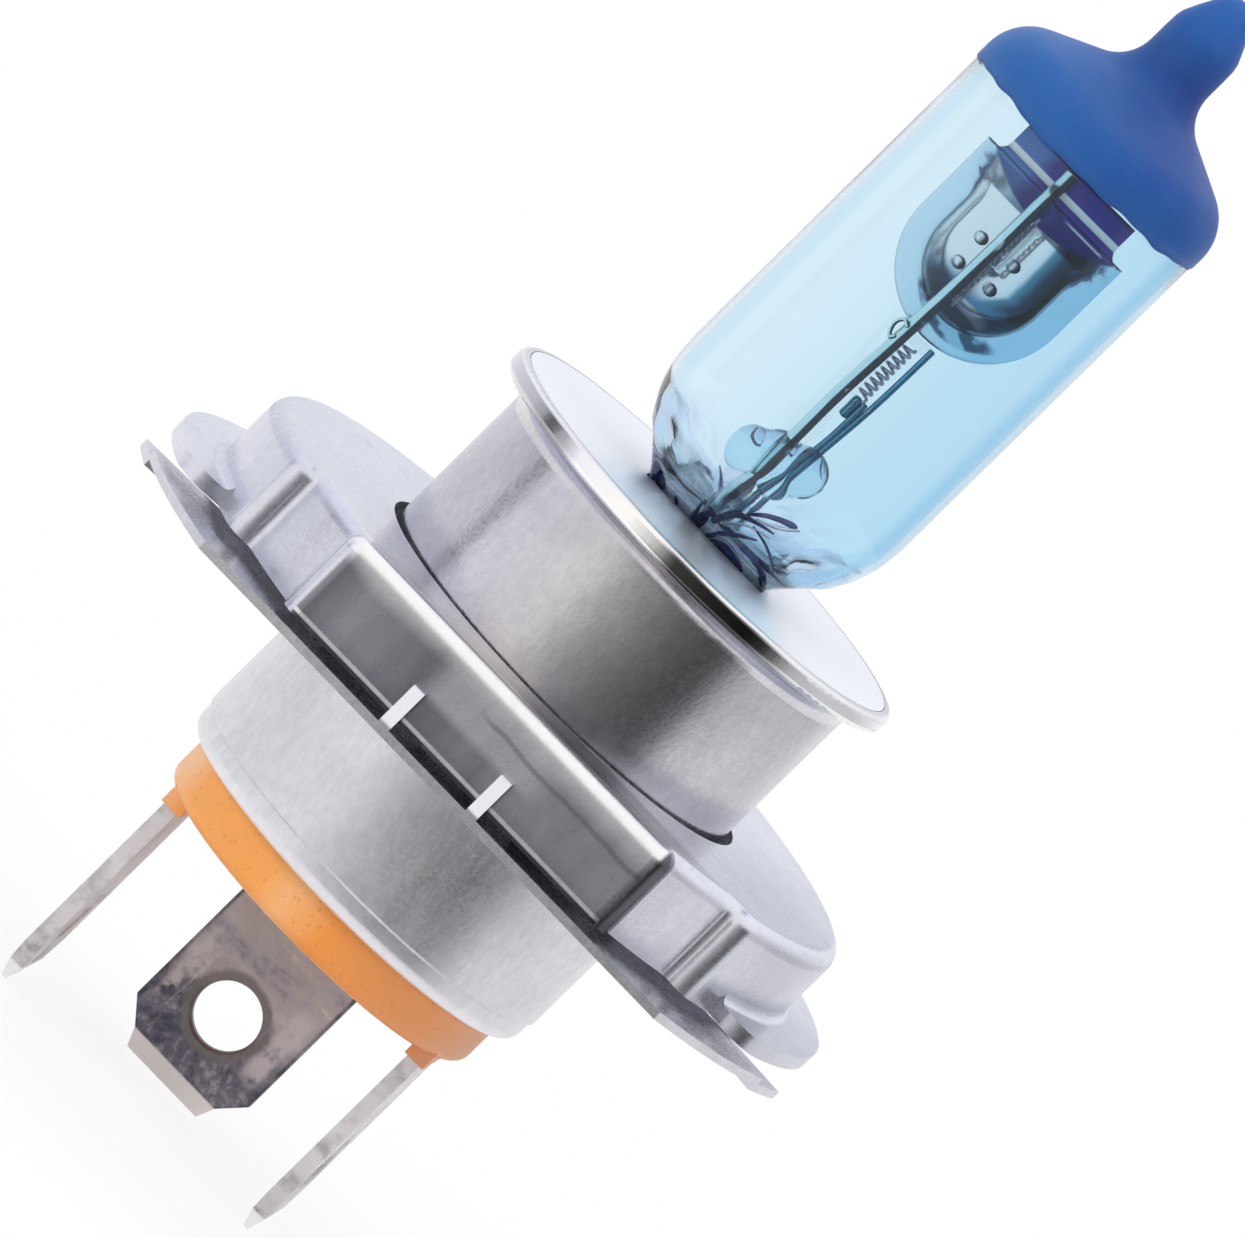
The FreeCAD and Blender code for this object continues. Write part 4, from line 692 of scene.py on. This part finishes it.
def make_shield():
    """A deep-drawn spoon: flat rim, rounded bowl open at its top, and a neck."""
    shares = [0.0, 0.05, 0.14, 0.2, 0.235, 0.26, 0.275, 0.29, 0.305, 0.32, 0.34, 0.36, 0.39, 0.43,
              0.48, 0.6, 0.8, 1.0]

    def outline_point(t):
        """The U of the rim with the point of the middle line that it faces."""
        middle = SHIELD_MIDDLE
        if t < BEND_START:
            z = RIM_TOP - (RIM_TOP - RIM_BEND) * t / BEND_START
            return (middle - RIM_HALF, z), (middle, z)
        if t > BEND_END:
            z = RIM_BEND + (RIM_TOP - RIM_BEND) * (t - BEND_END) / (1 - BEND_END)
            return (middle + RIM_HALF, z), (middle, z)
        angle = math.pi * (1 + (t - BEND_START) / (BEND_END - BEND_START))
        x = middle + RIM_HALF * math.cos(angle)
        return (x, RIM_BEND + RIM_HALF * math.sin(angle)), (middle, RIM_BEND)

    def bowl_depth(share, z, t):
        edge = 0.27 if z < 34.5 else 0.27 - 0.19 * min(1.0, (z - 34.5) / 2.6)
        bend = (t - BEND_START) / (BEND_END - BEND_START)
        toe = math.sin(math.pi * bend) if 0.0 < bend < 1.0 else 0.0
        inward = max(0.0, min(1.0, (share - edge) / (0.11 + 0.16 * toe)))
        profile = math.sin(inward * math.pi / 2) ** 0.8 if inward > 0 else 0.0
        closing = 1.0 if z < 35.3 else max(0.0, 1 - (z - 35.3) / 1.8) ** 0.7
        return BOWL_DEPTH * profile * closing

    steps = 72
    front_points = []
    for step in range(steps + 1):
        rim, spine = outline_point(step / steps)
        for share in shares:
            x = rim[0] + (spine[0] - rim[0]) * share
            z = rim[1] + (spine[1] - rim[1]) * share
            front_points.append((x, SHIELD_FRONT + bowl_depth(share, z, step / steps), z))
    spoon = new_mesh("dipped_shield_spoon", front_points, grid_faces(steps, len(shares) - 1))
    thicken(spoon, SHIELD_SHEET)
    finish_piece(spoon, shield_metal, ("dipped_beam_shield",))

    columns, rows = 28, 10
    points = []
    for row in range(rows + 1):
        z = NECK_BOTTOM + NECK_HEIGHT * row / rows
        half = NECK_HALF + 0.35 * max(0.0, 1 - row / 3) ** 2
        crease = 0.1 * math.exp(-((z - 37.75) / 0.16) ** 2)
        for column in range(columns + 1):
            points.append((SHIELD_MIDDLE + half * (2 * column / columns - 1), SHIELD_FRONT + 0.02 + crease,
                           z))
    neck = new_mesh("dipped_shield_neck", points, grid_faces(rows, columns))
    thicken(neck, SHIELD_SHEET)
    finish_piece(neck, shield_metal, ())


def make_weld_dimples():
    """Four spot welds that stand out of the bowl's floor, each with a dark side of painted shade."""
    for number, (x, z) in enumerate(((-0.95, 33.1), (-0.9, 31.5), (1.1, 33.25), (1.1, 31.65))):
        rings = []
        for step in range(7):
            turn = math.pi / 2 * step / 6
            reach = 0.5 * math.cos(turn)
            ring = []
            for angle in angles(20):
                ring.append((x + reach * math.cos(angle), 1.92 - 0.3 * math.sin(turn),
                             z + reach * 0.85 * math.sin(angle)))
            rings.append(ring if step < 6 else [(x, 1.62, z)])
        skin_piece("shield_weld_%d" % (number + 1), rings, weld_metal, ())


# Dark folds are strips of painted shade put under the glass.
# rows of a fold: sideways place, height and half width
FOLDS = {
    "left_upper": [(-4.08, 14.84, 0.1), (-3.69, 14.66, 0.22), (-3.21, 14.32, 0.26), (-2.85, 14.1, 0.16)],
    "left_lower": [(-4.02, 14.66, 0.07), (-3.66, 14.3, 0.14), (-3.45, 14.06, 0.14)],
    "fan_low": [(0.14, 14.06, 0.1), (0.34, 14.3, 0.12), (0.72, 14.9, 0.14), (1.39, 15.52, 0.12),
                (2.16, 16.06, 0.05)], "fan_mid": [(-0.05, 14.9, 0.14), (0.24, 15.67, 0.19),
                                                  (0.62, 16.29, 0.19), (1.1, 16.56, 0.14),
                                                  (1.87, 16.82, 0.1), (2.54, 16.95, 0.05)],
    "fan_high": [(1.01, 16.73, 0.07), (1.58, 17.28, 0.12), (2.25, 17.68, 0.14), (2.83, 17.9, 0.17),
                 (3.12, 17.99, 0.07)], "lid": [(0.45, 14.08, 0.07), (0.8, 14.3, 0.12), (1.29, 14.5, 0.12),
                                               (2.06, 14.32, 0.12), (2.6, 14.06, 0.1)],
    "iris": [(0.7, 14.08, 0.12), (1.3, 14.18, 0.2), (1.9, 14.14, 0.2), (2.3, 14.08, 0.1)],
    "centre": [(-1.01, 15.4, 0.05), (-0.95, 14.7, 0.12), (-0.88, 14.1, 0.14)],
    "centre_left": [(-2.2, 14.4, 0.05), (-2.0, 14.2, 0.1), (-1.9, 14.06, 0.1)],
    "right": [(3.3, 14.6, 0.05), (3.7, 14.3, 0.1), (3.95, 14.08, 0.08)],
    "shade": [(1.77, 15.01, 0.08), (2.54, 15.1, 0.17), (3.31, 14.82, 0.17), (3.79, 14.41, 0.07)],
    "wire_foot": [(-0.42, 15.3, 0.1), (-0.5, 14.8, 0.26), (-0.56, 14.3, 0.28), (-0.58, 14.06, 0.26)],
    "veil": [(1.58, 16.49, 0.04), (2.54, 16.22, 0.08), (3.21, 15.8, 0.08), (3.79, 15.12, 0.04)], }
# Painted highlights in the folded glass.
FOLD_HIGHLIGHTS = {
    "lid_light": [(0.1, 14.06, 0.05), (0.45, 14.42, 0.07), (0.85, 14.68, 0.08), (1.35, 14.78, 0.08),
                  (2.0, 14.6, 0.06), (2.6, 14.28, 0.04)],
    "fan_light": [(1.45, 16.88, 0.04), (2.2, 17.18, 0.08), (2.75, 17.52, 0.09), (3.3, 17.95, 0.05)],
    "wire_light": [(-0.7, 16.8, 0.05), (-0.74, 15.8, 0.11), (-0.72, 14.9, 0.05)],
    "brow_light": [(0.6, 15.5, 0.04), (1.1, 16.1, 0.06), (1.8, 16.45, 0.05), (2.5, 16.6, 0.03)],
}


def taper_depth(x, z):
    """Half depth of the glass at a place on its taper."""
    half_x, half_y, power = stations(TAPER, z)
    return half_y * max(0.0, 1 - min(1.0, abs(x / half_x)) ** power) ** (1 / power)


def fold_ribbon(name, marks, side, material):
    """One fold of the glass, a lens-shaped strip under the taper's surface."""
    path = smooth_path([(x, w, z) for x, z, w in marks], 8)
    rings = []
    for n, here in enumerate(path):
        along = path[min(n + 1, len(path) - 1)] - path[max(n - 1, 0)]
        length = math.hypot(along.x, along.z)
        across = (-along.z / length, along.x / length)
        ring = []
        for reach, lift in ((-1, 0), (-0.6, 0.05), (0.6, 0.05), (1, 0), (0.6, -0.05), (-0.6, -0.05)):
            x = here.x + across[0] * reach * here.y
            z = max(14.03, here.z + across[1] * reach * here.y)
            ring.append((x, side * (taper_depth(x, z) - 0.3 + lift), z))
        rings.append(ring)
    skin_piece(name, rings, material, ())


def make_folds():
    """Folds where the glass was pinched shut, as strips of painted shade and painted highlight: the front's
    own, and a plainer set behind.
    """
    for marks, material in ((FOLDS, fold_shade), (FOLD_HIGHLIGHTS, fold_highlight)):
        for name, rows in marks.items():
            fold_ribbon("glass_fold_" + name, rows, -1, material)
    rings = []
    for step in range(9):
        height = 13.9 + 1.2 * step / 8
        half_x, half_y, power = stations(TAPER, height)
        inset = 0.42 + 1.3 * max(0.0, (step - 4) / 4) ** 2
        rings.append(oval_ring(height, half_x - inset, half_y - inset * 0.8, power, count=96))
    skin_piece("glass_fold_core", rings, fold_body, ())
    # The set behind: strips of paler painted shade.
    for name in ("left_upper", "fan_low", "fan_mid", "lid", "shade"):
        rows = [(-x * 0.95, z, w) for x, z, w in FOLDS[name]]
        fold_ribbon("glass_fold_back_" + name, rows, 1, fold_far)


def fold_glass(name, deep, pale, metallic):
    """Glass folded on itself: a dark streak of painted shade, a light streak of painted highlight, or the
    pale core.
    """
    s = Shader(name)
    grain = s.noise(900.0, 3.0, stretch=(1, 1, 0.5))
    return s.surface(Base_Color=s.mix(s.span(grain, 0.35, 0.68), deep, pale), Metallic=metallic,
                     Roughness=s.span(grain, 0.3, 0.7, 0.22, 0.4), Normal=s.bump(grain, 0.3, 0.01))


def make_wires():
    """The wires with the slow bends of drawn wire; each row holds a radius, a metal and a route."""
    routes = {
        "shield_support_wire": (0.36, wire_metal, [
            (-1.5, -0.42, 10.4), (-1.45, -0.44, 12.6), (-0.75, -0.8, 14.6), (-0.35, -1.05, 16.6),
            (-0.3, -1.05, 20.0), (-0.3, -1.05, 23.5), (-0.12, -1.05, 27.5), (0.0, -1.05, 32.0),
            (0.05, -1.02, 36.8), (0.08, -0.75, 38.0), (0.08, -0.7, 39.1)]),
        "main_beam_lead": (0.17, lead_metal, [
            (0.0, -0.22, 10.4), (0.0, -0.24, 12.6), (0.3, -0.62, 15.2), (0.45, -0.78, 17.6),
            (0.72, -0.7, 19.6), (0.92, -0.58, 21.4), (0.98, -0.55, 23.8)]),
        "dipped_beam_lead": (0.17, lead_metal, [
            (1.5, -0.22, 10.4), (1.45, -0.22, 12.6), (0.85, -0.42, 15.4), (0.86, -0.5, 17.4),
            (1.1, -0.5, 20.6), (1.34, -0.48, 24.0), (1.42, -0.48, 27.9)]),
    }
    for name, (radius, material, route) in routes.items():
        obj = tube(name + "_drawn", smooth_path(route, 12), radius)
        finish_piece(obj, material, (name,))
    loop = [(-0.18, -1.45, 27.95), (-0.55, -1.4, 28.1), (-0.78, -1.3, 27.75), (-0.72, -1.2, 27.3),
            (-0.5, -1.25, 27.0), (-0.3, -1.35, 27.25)]
    obj = tube("support_wire_loop", smooth_path(loop, 8), 0.11, 10)
    finish_piece(obj, wire_metal, ())


def helix(radius, bottom, height, turns, centre, tails):
    """The path of a coil with a straight tail below and above."""
    steps = turns * 22
    x, y = centre
    path = [Vector((x + radius, y, bottom - tails[0] * share)) for share in (1.0, 0.4)]
    for step in range(steps + 1):
        angle = TAU * turns * step / steps
        path.append(Vector((x + radius * math.cos(angle), y + radius * math.sin(angle),
                            bottom + height * step / steps)))
    return path + [path[-1] + Vector((0, 0, tails[1] * share)) for share in (0.5, 1.0)]


def make_filaments():
    main = tube("main_beam_coil", helix(0.3, 23.95, 3.3, 9, (MAIN_COIL_X, MAIN_COIL_Y), (0.15, 0.1)),
                COIL_WIRE, 8)
    finish_piece(main, tungsten, ("main_beam_filament",))
    dipped = tube("dipped_beam_coil", helix(0.35, 30.6, 4.7, 13, (0.1, 0.6), (0.7, 0.7)), COIL_WIRE, 8)
    finish_piece(dipped, tungsten, ("dipped_beam_filament",))
    crimp = []
    for z, r in ((22.58, 0.1), (22.62, 0.22), (22.75, 0.27), (23.0, 0.25), (23.35, 0.26), (23.6, 0.27),
                 (23.78, 0.24), (23.84, 0.12)):
        crimp.append([(MAIN_COIL_X + r * math.cos(a), MAIN_COIL_Y + r * math.sin(a), z)
                      for a in angles(18)])
    skin_piece("main_crimp_rolled", crimp, lead_metal, ("main_filament_crimp",))


def make_bead():
    """Drops of glass melted together round the wires."""
    drops = [(-1.35, -0.75, 18.35, 1.15, 1.25, 1.25), (-0.25, -0.8, 18.9, 1.35, 1.25, 1.45),
             (1.15, -0.65, 19.35, 1.35, 1.2, 1.3), (0.55, -0.7, 18.3, 1.0, 1.1, 1.35)]
    pieces = []
    for number, (x, y, z, rx, ry, rz) in enumerate(drops):
        rings = []
        for step in range(1, 24):
            turn = math.pi * step / 24
            rings.append([(x + rx * math.sin(turn) * math.cos(a), y + ry * math.sin(turn) * math.sin(a),
                           z - rz * math.cos(turn)) for a in angles(40)])
        rings = [[(x, y, z - rz)]] + rings + [[(x, y, z + rz)]]
        pieces.append(new_mesh("bead_drop_%d" % number, *skin(rings)))
    base = pieces[0]
    with bpy.context.temp_override(active_object=base, selected_editable_objects=pieces,
                                   selected_objects=pieces):
        bpy.ops.object.join()
    base.name = "glass_bead_melted"
    remesh = base.modifiers.new("melt", "REMESH")
    remesh.mode = "VOXEL"
    remesh.voxel_size = 0.09 * MM
    remesh.use_smooth_shade = True
    soften = base.modifiers.new("soften", "SMOOTH")
    soften.factor = 0.9
    soften.iterations = 14
    finish_piece(base, bead_glass, ("glass_bridge_bead",))


def fan_glass():
    """The envelope's glass: pale blue with painted shade to the right, and smoky violet streaks of painted
    shade for the folds that fan out of the pinch.
    """
    s = Shader("tinted_glass")
    drawn, lumps, across, shade = drawn_glass(s, (0.877, 0.948, 0.98), (0.645, 0.84, 0.945), 0.48)
    grazing = s.add("LayerWeight", {"Blend": 0.35}).outputs["Facing"]
    rim = s.ramp(grazing, [(0.36, 0.0), (0.44, 0.7), (0.85, 1.0)])
    # Deeper blue at grazing edges, and deeper to the right, a painted shade.
    edge = s.mix(s.span(s.plus(across, 0.5), 0.0, 1.0), (0.7, 0.86, 0.94), (0.34, 0.64, 0.86))
    shade = s.mix(rim, shade, edge)
    rise = s.minus(s.axis("Z"), 0.0132)
    flat = s.combined(s.plus(s.axis("X"), 0.0004), rise)
    turn = s.around(flat)
    reach = s.length(flat)
    fan = s.combined(s.times(turn, 26.0), s.times(reach, 260.0), s.times(s.axis("Y"), 160.0))
    streaks = s.add("TexNoise", {"Vector": fan, "Scale": 1.0, "Detail": 5.0, "Roughness": 0.6,
                                 "Distortion": 1.3}).outputs[0]
    # Smoky violet streaks low on the taper, a painted shade of the folds.
    low = s.ramp(s.times(rise, 180.0), [(0.12, 1.0), (0.55, 0.55), (0.9, 0.0)])
    painted_smoke_shade = s.times(s.span(streaks, 0.5, 0.64, 0.0, 0.8), low)
    painted_smoke_shade = s.times(painted_smoke_shade, s.span(grazing, 0.3, 0.6, 1.0, 0.0))
    shade = s.mix(painted_smoke_shade, shade, (0.44, 0.5, 0.8))
    height = s.plus(drawn, s.times(s.times(streaks, low), 2.2))
    return clear_surface(s, shade, lumps, height, 0.45, 0.03)


def shield_sheet_metal():
    """Bright sheet with painted reflections of the blue tip above it and of the dark of the bowl's right
    wall, and painted glints.
    """
    s = Shader("shield_sheet")
    x, y, z = s.mm("X"), s.mm("Y"), s.mm("Z")
    wobble = s.sway(s.noise(300.0, 2.0, 0.4), 1.0)
    deep = s.rise(y, 0.0, 0.5)
    # Painted reflection of the pale glass on the rim, deeper to the right.
    tone = s.mix(s.rise(x, -2.5, 4.0), (0.66, 0.84, 0.95), (0.42, 0.7, 0.88))
    # Painted reflection in the bowl: white on the left, the dark right wall, dark teal low down.
    shift = s.times(s.highest(s.minus(32.0, z), 0.0), 0.75)
    turned = s.plus(s.plus(x, s.times(wobble, 0.5)), shift)
    wall = s.ramp(s.plus(s.times(turned, 0.125), 0.5), [
        (0.7, (1.0, 1.0, 1.0)), (0.735, (0.8, 0.9, 0.95)), (0.765, (0.1, 0.28, 0.4)),
        (0.83, (0.02, 0.05, 0.1)), (0.9, (0.006, 0.01, 0.024)), (0.96, (0.05, 0.14, 0.24))])
    lower = s.rise(s.plus(z, s.times(wobble, 0.8)), 31.7, 30.6)
    wall = s.mix(lower, wall, (0.06, 0.22, 0.38))
    # A painted glint low in the bowl.
    glint = s.times(s.rise(z, 29.9, 30.1), s.rise(z, 30.6, 30.35))
    glint = s.times(glint, s.times(s.rise(x, -0.4, 0.3), s.rise(x, 2.5, 2.0)))
    wall = s.mix(glint, wall, (0.95, 0.97, 1.0))
    # Painted dark and pale blots of reflection in the bowl's bottom.
    foot = s.minus(z, s.times(s.power(s.absolute(s.minus(x, 1.0)), 2.0), 0.18))
    painted_sump_reflection = s.mix(s.span(s.noise(900.0, 2.0, 0.5, stretch=(1, 1, 1.8)), 0.44, 0.58),
                  (0.03, 0.09, 0.17), (0.3, 0.54, 0.72))
    sump = s.all_of((foot, 28.5, 28.7), (z, 30.2, 29.8), (x, -1.8, -1.2), (x, 3.8, 3.0))
    tone = s.mix(sump, tone, painted_sump_reflection)
    tone = s.mix(deep, tone, wall)
    # A violet band of painted reflection of the blue tip across the top of the bowl and the neck.
    violet = s.mix(s.rise(s.plus(x, wobble), -1.7, -0.6), (0.06, 0.23, 0.64), (0.05, 0.03, 0.36))
    sag = s.plus(z, s.times(s.power(s.absolute(s.minus(x, 0.6)), 2.0), -0.1))
    band = s.rise(sag, 35.35, 35.55)
    opening = s.rise(s.absolute(s.minus(x, 0.5)), 4.15, 3.95)
    band = s.times(band, s.highest(s.highest(deep, s.rise(z, 37.15, 37.2)), opening))
    tone = s.mix(band, tone, violet)
    # Painted highlight stripes on the neck and just below it.
    stripe = s.times(s.rise(z, 37.55, 37.62), s.rise(z, 38.02, 37.95))
    thin = s.times(s.rise(z, 36.82, 36.88), s.rise(z, 37.02, 36.95))
    thin = s.times(thin, s.times(s.rise(x, 1.2, 2.0), s.rise(x, 4.0, 3.6)))
    tone = s.mix(s.highest(stripe, thin), tone, (1.0, 1.0, 1.0))
    grain = s.noise(500.0, 1.0, 0.5)
    rough = s.mix(band, s.span(grain, 0.3, 0.7, 0.14, 0.22), 0.5)
    return s.surface(Base_Color=tone, Metallic=s.mix(band, 0.82, 0.6), Roughness=rough,
                     Normal=s.bump(grain, 0.05, 0.0005))


def split_wire_metal(name, light, dark, edge=0.05):
    """Polished wire with painted reflections: its left side painted light like the white tent, its right
    side painted dark like the gap, and painted glints.
    """
    s = Shader(name)
    facing = s.normal("X")
    blot = s.noise(700.0, 3.0, stretch=(1, 1, 0.35))
    turned = s.plus(facing, s.sway(blot, 0.5))
    # Painted reflection: light on the side facing -x, dark on the side facing +x.
    tone = s.mix(s.span(s.plus(turned, 0.5), 0.5 - edge, 0.5 + edge * 2), light, dark)
    # Painted glints along the wire.
    glint = s.span(s.noise(900.0, 2.0, 0.5, stretch=(1, 1, 0.6)), 0.64, 0.7)
    tone = s.mix(s.times(glint, 0.6), tone, (0.85, 0.92, 0.96))
    return s.surface(Base_Color=tone, Metallic=0.8, Roughness=s.span(blot, 0.3, 0.7, 0.14, 0.26),
                     Normal=s.bump(blot, 0.3, 0.004))


# ---- materials of the pieces

holder = satin_metal("holder_satin", (0.88, 0.88, 0.94), (0.95, 0.95, 0.99), (0.17, 0.26), 1, 0.002,
                     dress_disc)
sleeve_metal = satin_metal("sleeve_satin", (0.56, 0.55, 0.59), (0.8, 0.79, 0.82), (0.15, 0.24), 0.6,
                           0.012, dress_sleeve)
flange_metal = satin_metal("flange_satin", (0.74, 0.75, 0.83), (0.84, 0.85, 0.92), (0.22, 0.34), 1,
                           0.006, dress_flange)
spring_metal = satin_metal("spring_satin", (0.66, 0.66, 0.71), (0.8, 0.8, 0.84), (0.2, 0.32), 1,
                           0.004, dress_spring)
cup_metal = satin_metal("cup_satin", (0.68, 0.67, 0.71), (0.88, 0.87, 0.9), (0.26, 0.38), 0.5, 0.01,
                        dress_cup)
bright = polished_metal("bright_molybdenum", (0.8, 0.83, 0.9))
wire_metal = split_wire_metal("wire_molybdenum", (0.62, 0.84, 0.88), (0.006, 0.02, 0.035))
clamp_metal = polished_metal("clamp_bright", (0.94, 0.96, 0.97))
tungsten = satin_metal("tungsten_wire", (0.24, 0.24, 0.34), (0.5, 0.5, 0.62), (0.34, 0.48), 1, 0.002)
foil_metal = satin_metal("foil_molybdenum", (0.5, 0.5, 0.53), (0.62, 0.62, 0.65), (0.28, 0.42), 1, 0.002)
blade_metal = tarnished_metal("blade_tarnish", "X")
side_blade_metal = tarnished_metal("side_blade_tarnish", "Y", 0.75)
resin = orange_plastic()
lacquer = tip_paint()
glass = fan_glass()
shield_metal = shield_sheet_metal()
lead_metal = split_wire_metal("lead_molybdenum", (0.1, 0.33, 0.47), (0.015, 0.1, 0.17))
bead_glass = bead_melt()
weld_metal = split_wire_metal("weld_molybdenum", (0.94, 0.96, 0.98), (0.01, 0.03, 0.055), 0.12)
fold_shade = fold_glass("fold_shade", (0.01, 0.014, 0.06), (0.085, 0.11, 0.38), 0.3)
# Painted highlights of the folds.
fold_highlight = fold_glass("fold_highlight", (0.8, 0.88, 0.94), (0.96, 0.98, 0.99), 0.85)
fold_body = fold_glass("fold_body", (0.64, 0.74, 0.88), (0.96, 0.98, 1.0), 0.35)
fold_far = fold_glass("fold_far", (0.06, 0.08, 0.22), (0.32, 0.38, 0.64), 0.3)

MATERIALS = (
    (holder, "holder_disc pinch_clamp"), (sleeve_metal, "sleeve"), (flange_metal, "mounting_flange"),
    (spring_metal, "spring_plate"), (cup_metal, "base_cup"), (resin, "insulator"),
    (blade_metal, "terminal_main_beam"), (side_blade_metal, "terminal_earth terminal_dipped_beam"),
    (lacquer, "tip_coating"), (glass, "glass_envelope"), (bead_glass, "glass_bridge_bead"),
    (bright, "dipped_beam_shield"), (clamp_metal, "main_filament_clamp"),
    (wire_metal, "shield_support_wire main_beam_lead dipped_beam_lead main_filament_crimp"),
    (wire_metal, "outer_lead_earth outer_lead_main_beam outer_lead_dipped_beam"),
    (foil_metal, "foil_earth foil_main_beam foil_dipped_beam"),
    (tungsten, "main_beam_filament dipped_beam_filament"),
)
for material, nodes in MATERIALS:
    for node in nodes.split():
        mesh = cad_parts[node].data
        mesh.materials.clear()
        mesh.materials.append(material)

for make in (make_glass, make_paint, make_shield, make_weld_dimples, make_folds, make_wires,
             make_filaments, make_bead):
    make()


# ---- studio

def backdrop_material():
    """Pale floor that keeps soft shadows and shows as white behind metal and glass."""
    s = Shader("pale_floor")
    paper = s.ramp(s.noise(6.0, 3.0, 0.5), [(0.3, (0.88, 0.88, 0.885)), (0.7, (0.9, 0.9, 0.905))])
    lit = s.add("BsdfPrincipled", {"Base Color": paper, "Roughness": 0.9})
    distance = s.length(s.place)
    gap = s.ramp(s.around(), [(0.18, 0.0), (0.225, 0.6), (0.29, 0.82), (0.38, 0.9), (0.41, 0.8),
                              (0.45, 0.0)])
    gap = s.all_of(gap, s.span(distance, 0.055, 0.085),
                   s.minus(s.rays("Glossy"), s.rays("Transmission"), clamp=True))
    glow = s.add("Emission", {"Color": 1.0, "Strength": s.minus(1.0, gap)})
    share = s.times(s.rays("Camera", "Glossy", "Transmission"),
                    s.highest(s.rays("Glossy"), s.span(distance, 0.03, 0.12, 0.88, 1.0)))
    s.feed(s.output.inputs["Surface"], s.add("MixShader", {0: share, 1: lit, 2: glow}))
    return s.material


def tent_material():
    """The studio's tent: white cloth with one wide dark gap on the camera's right and a narrow one."""
    s = Shader("tent_cloth")
    around = s.around()
    level = s.ramp(around, [
        (0.0, 0.3), (0.022, 0.3), (0.036, 0.95), (0.18, 1.0), (0.217, 0.62), (0.267, 0.34), (0.325, 0.15),
        (0.378, 0.07), (0.41, 0.13), (0.447, 0.58), (0.52, 0.72), (0.6, 0.64), (0.7, 0.95), (0.9, 0.86),
        (0.985, 0.8)])
    tint = s.ramp(around, [(0.05, (0.9, 0.9, 1.0)), (0.16, (1.0, 0.97, 0.94)), (0.4, (0.96, 0.96, 1.0)),
                           (0.75, (0.95, 0.96, 1.0)), (1.0, (0.88, 0.89, 1.0))])
    above = s.span(s.times(s.axis("Z"), 4.0), 0.22, 0.5)
    level = s.mix(above, level, (1.0, 1.0, 1.0))
    glow = s.add("Emission", {"Color": s.mix(1.0, level, tint, "MULTIPLY"), "Strength": 1.0})
    s.feed(s.output.inputs["Surface"], glow)
    return s.material


def make_floor(height, half):
    corners = [(-half, -half, 0), (half, -half, 0), (half, half, 0), (-half, half, 0)]
    obj = new_mesh("floor", corners, [(0, 1, 2, 3)])
    obj.location = (0, 0, height * MM)
    obj.data.materials.append(backdrop_material())


def make_tent(radius, bottom, top, count=96):
    """An open round wall that only reflections show."""
    points = [(radius * math.cos(a), radius * math.sin(a), z) for z in (bottom, top) for a in angles(count)]
    faces = [(n, (n + 1) % count, (n + 1) % count + count, n + count) for n in range(count)]
    obj = new_mesh("tent", points, faces)
    obj.data.materials.append(tent_material())
    for kind in ("camera", "diffuse", "transmission", "volume_scatter", "shadow"):
        setattr(obj, "visible_" + kind, False)


def make_world():
    """White to the camera, in reflections and through glass; a dim, cool fill for all else."""
    s = Shader("studio", bpy.data.worlds.new("studio"), "OutputWorld")
    soft = s.add("Background", {"Color": (0.8, 0.82, 0.86), "Strength": 0.35})
    white = s.add("Background", {"Color": 1.0, "Strength": 1.0})
    seen = s.rays("Camera", "Transmission", "Glossy")
    s.feed(s.output.inputs["Surface"], s.add("MixShader", {0: seen, 1: soft, 2: white}))
    bpy.context.scene.world = s.material


def area_lamp(name, place, width, height, power):
    """A soft lamp that lights surfaces and shows in no reflection."""
    lamp = bpy.data.lights.new(name, "AREA")
    lamp.shape = "RECTANGLE"
    lamp.size, lamp.size_y = width, height
    lamp.energy = power
    obj = new_object(name, lamp)
    obj.location = place
    obj.visible_glossy = False
    obj.visible_transmission = False
    obj.rotation_euler = (Vector(LAMP_TARGET) - Vector(place)).to_track_quat("-Z", "Y").to_euler()


floor_height = cad_low.z / MM - FLOOR_DROP
make_floor(floor_height, FLOOR_HALF)
make_tent(TENT_RADIUS, floor_height, TENT_TOP)
make_world()

for lamp in (("key_left", (-0.45, -0.4, 0.35), 0.3, 0.5, 2.6),
             ("fill_right", (0.5, -0.3, 0.3), 0.22, 0.45, 1.6), ("top", (0.0, 0.1, 0.6), 0.5, 0.4, 2.0)):
    area_lamp(*lamp)


# ---- camera

camera_data = bpy.data.cameras.new("camera")
camera_data.lens, camera_data.sensor_width = LENS, SENSOR
camera_data.clip_start, camera_data.clip_end = 0.05, 20
camera = new_object("camera", camera_data)
a, e = math.radians(AZIMUTH), math.radians(ELEVATION)
back = Vector((math.sin(a) * math.cos(e), -math.cos(a) * math.cos(e), math.sin(e)))
camera.location = Vector(AIM) + back * DISTANCE
facing = (-back).to_track_quat("-Z", "Y")
camera.rotation_mode = "QUATERNION"
camera.rotation_quaternion = facing @ Euler((0, 0, math.radians(ROLL))).to_quaternion()
bpy.context.scene.camera = camera
bpy.context.scene.view_settings.view_transform = "Standard"
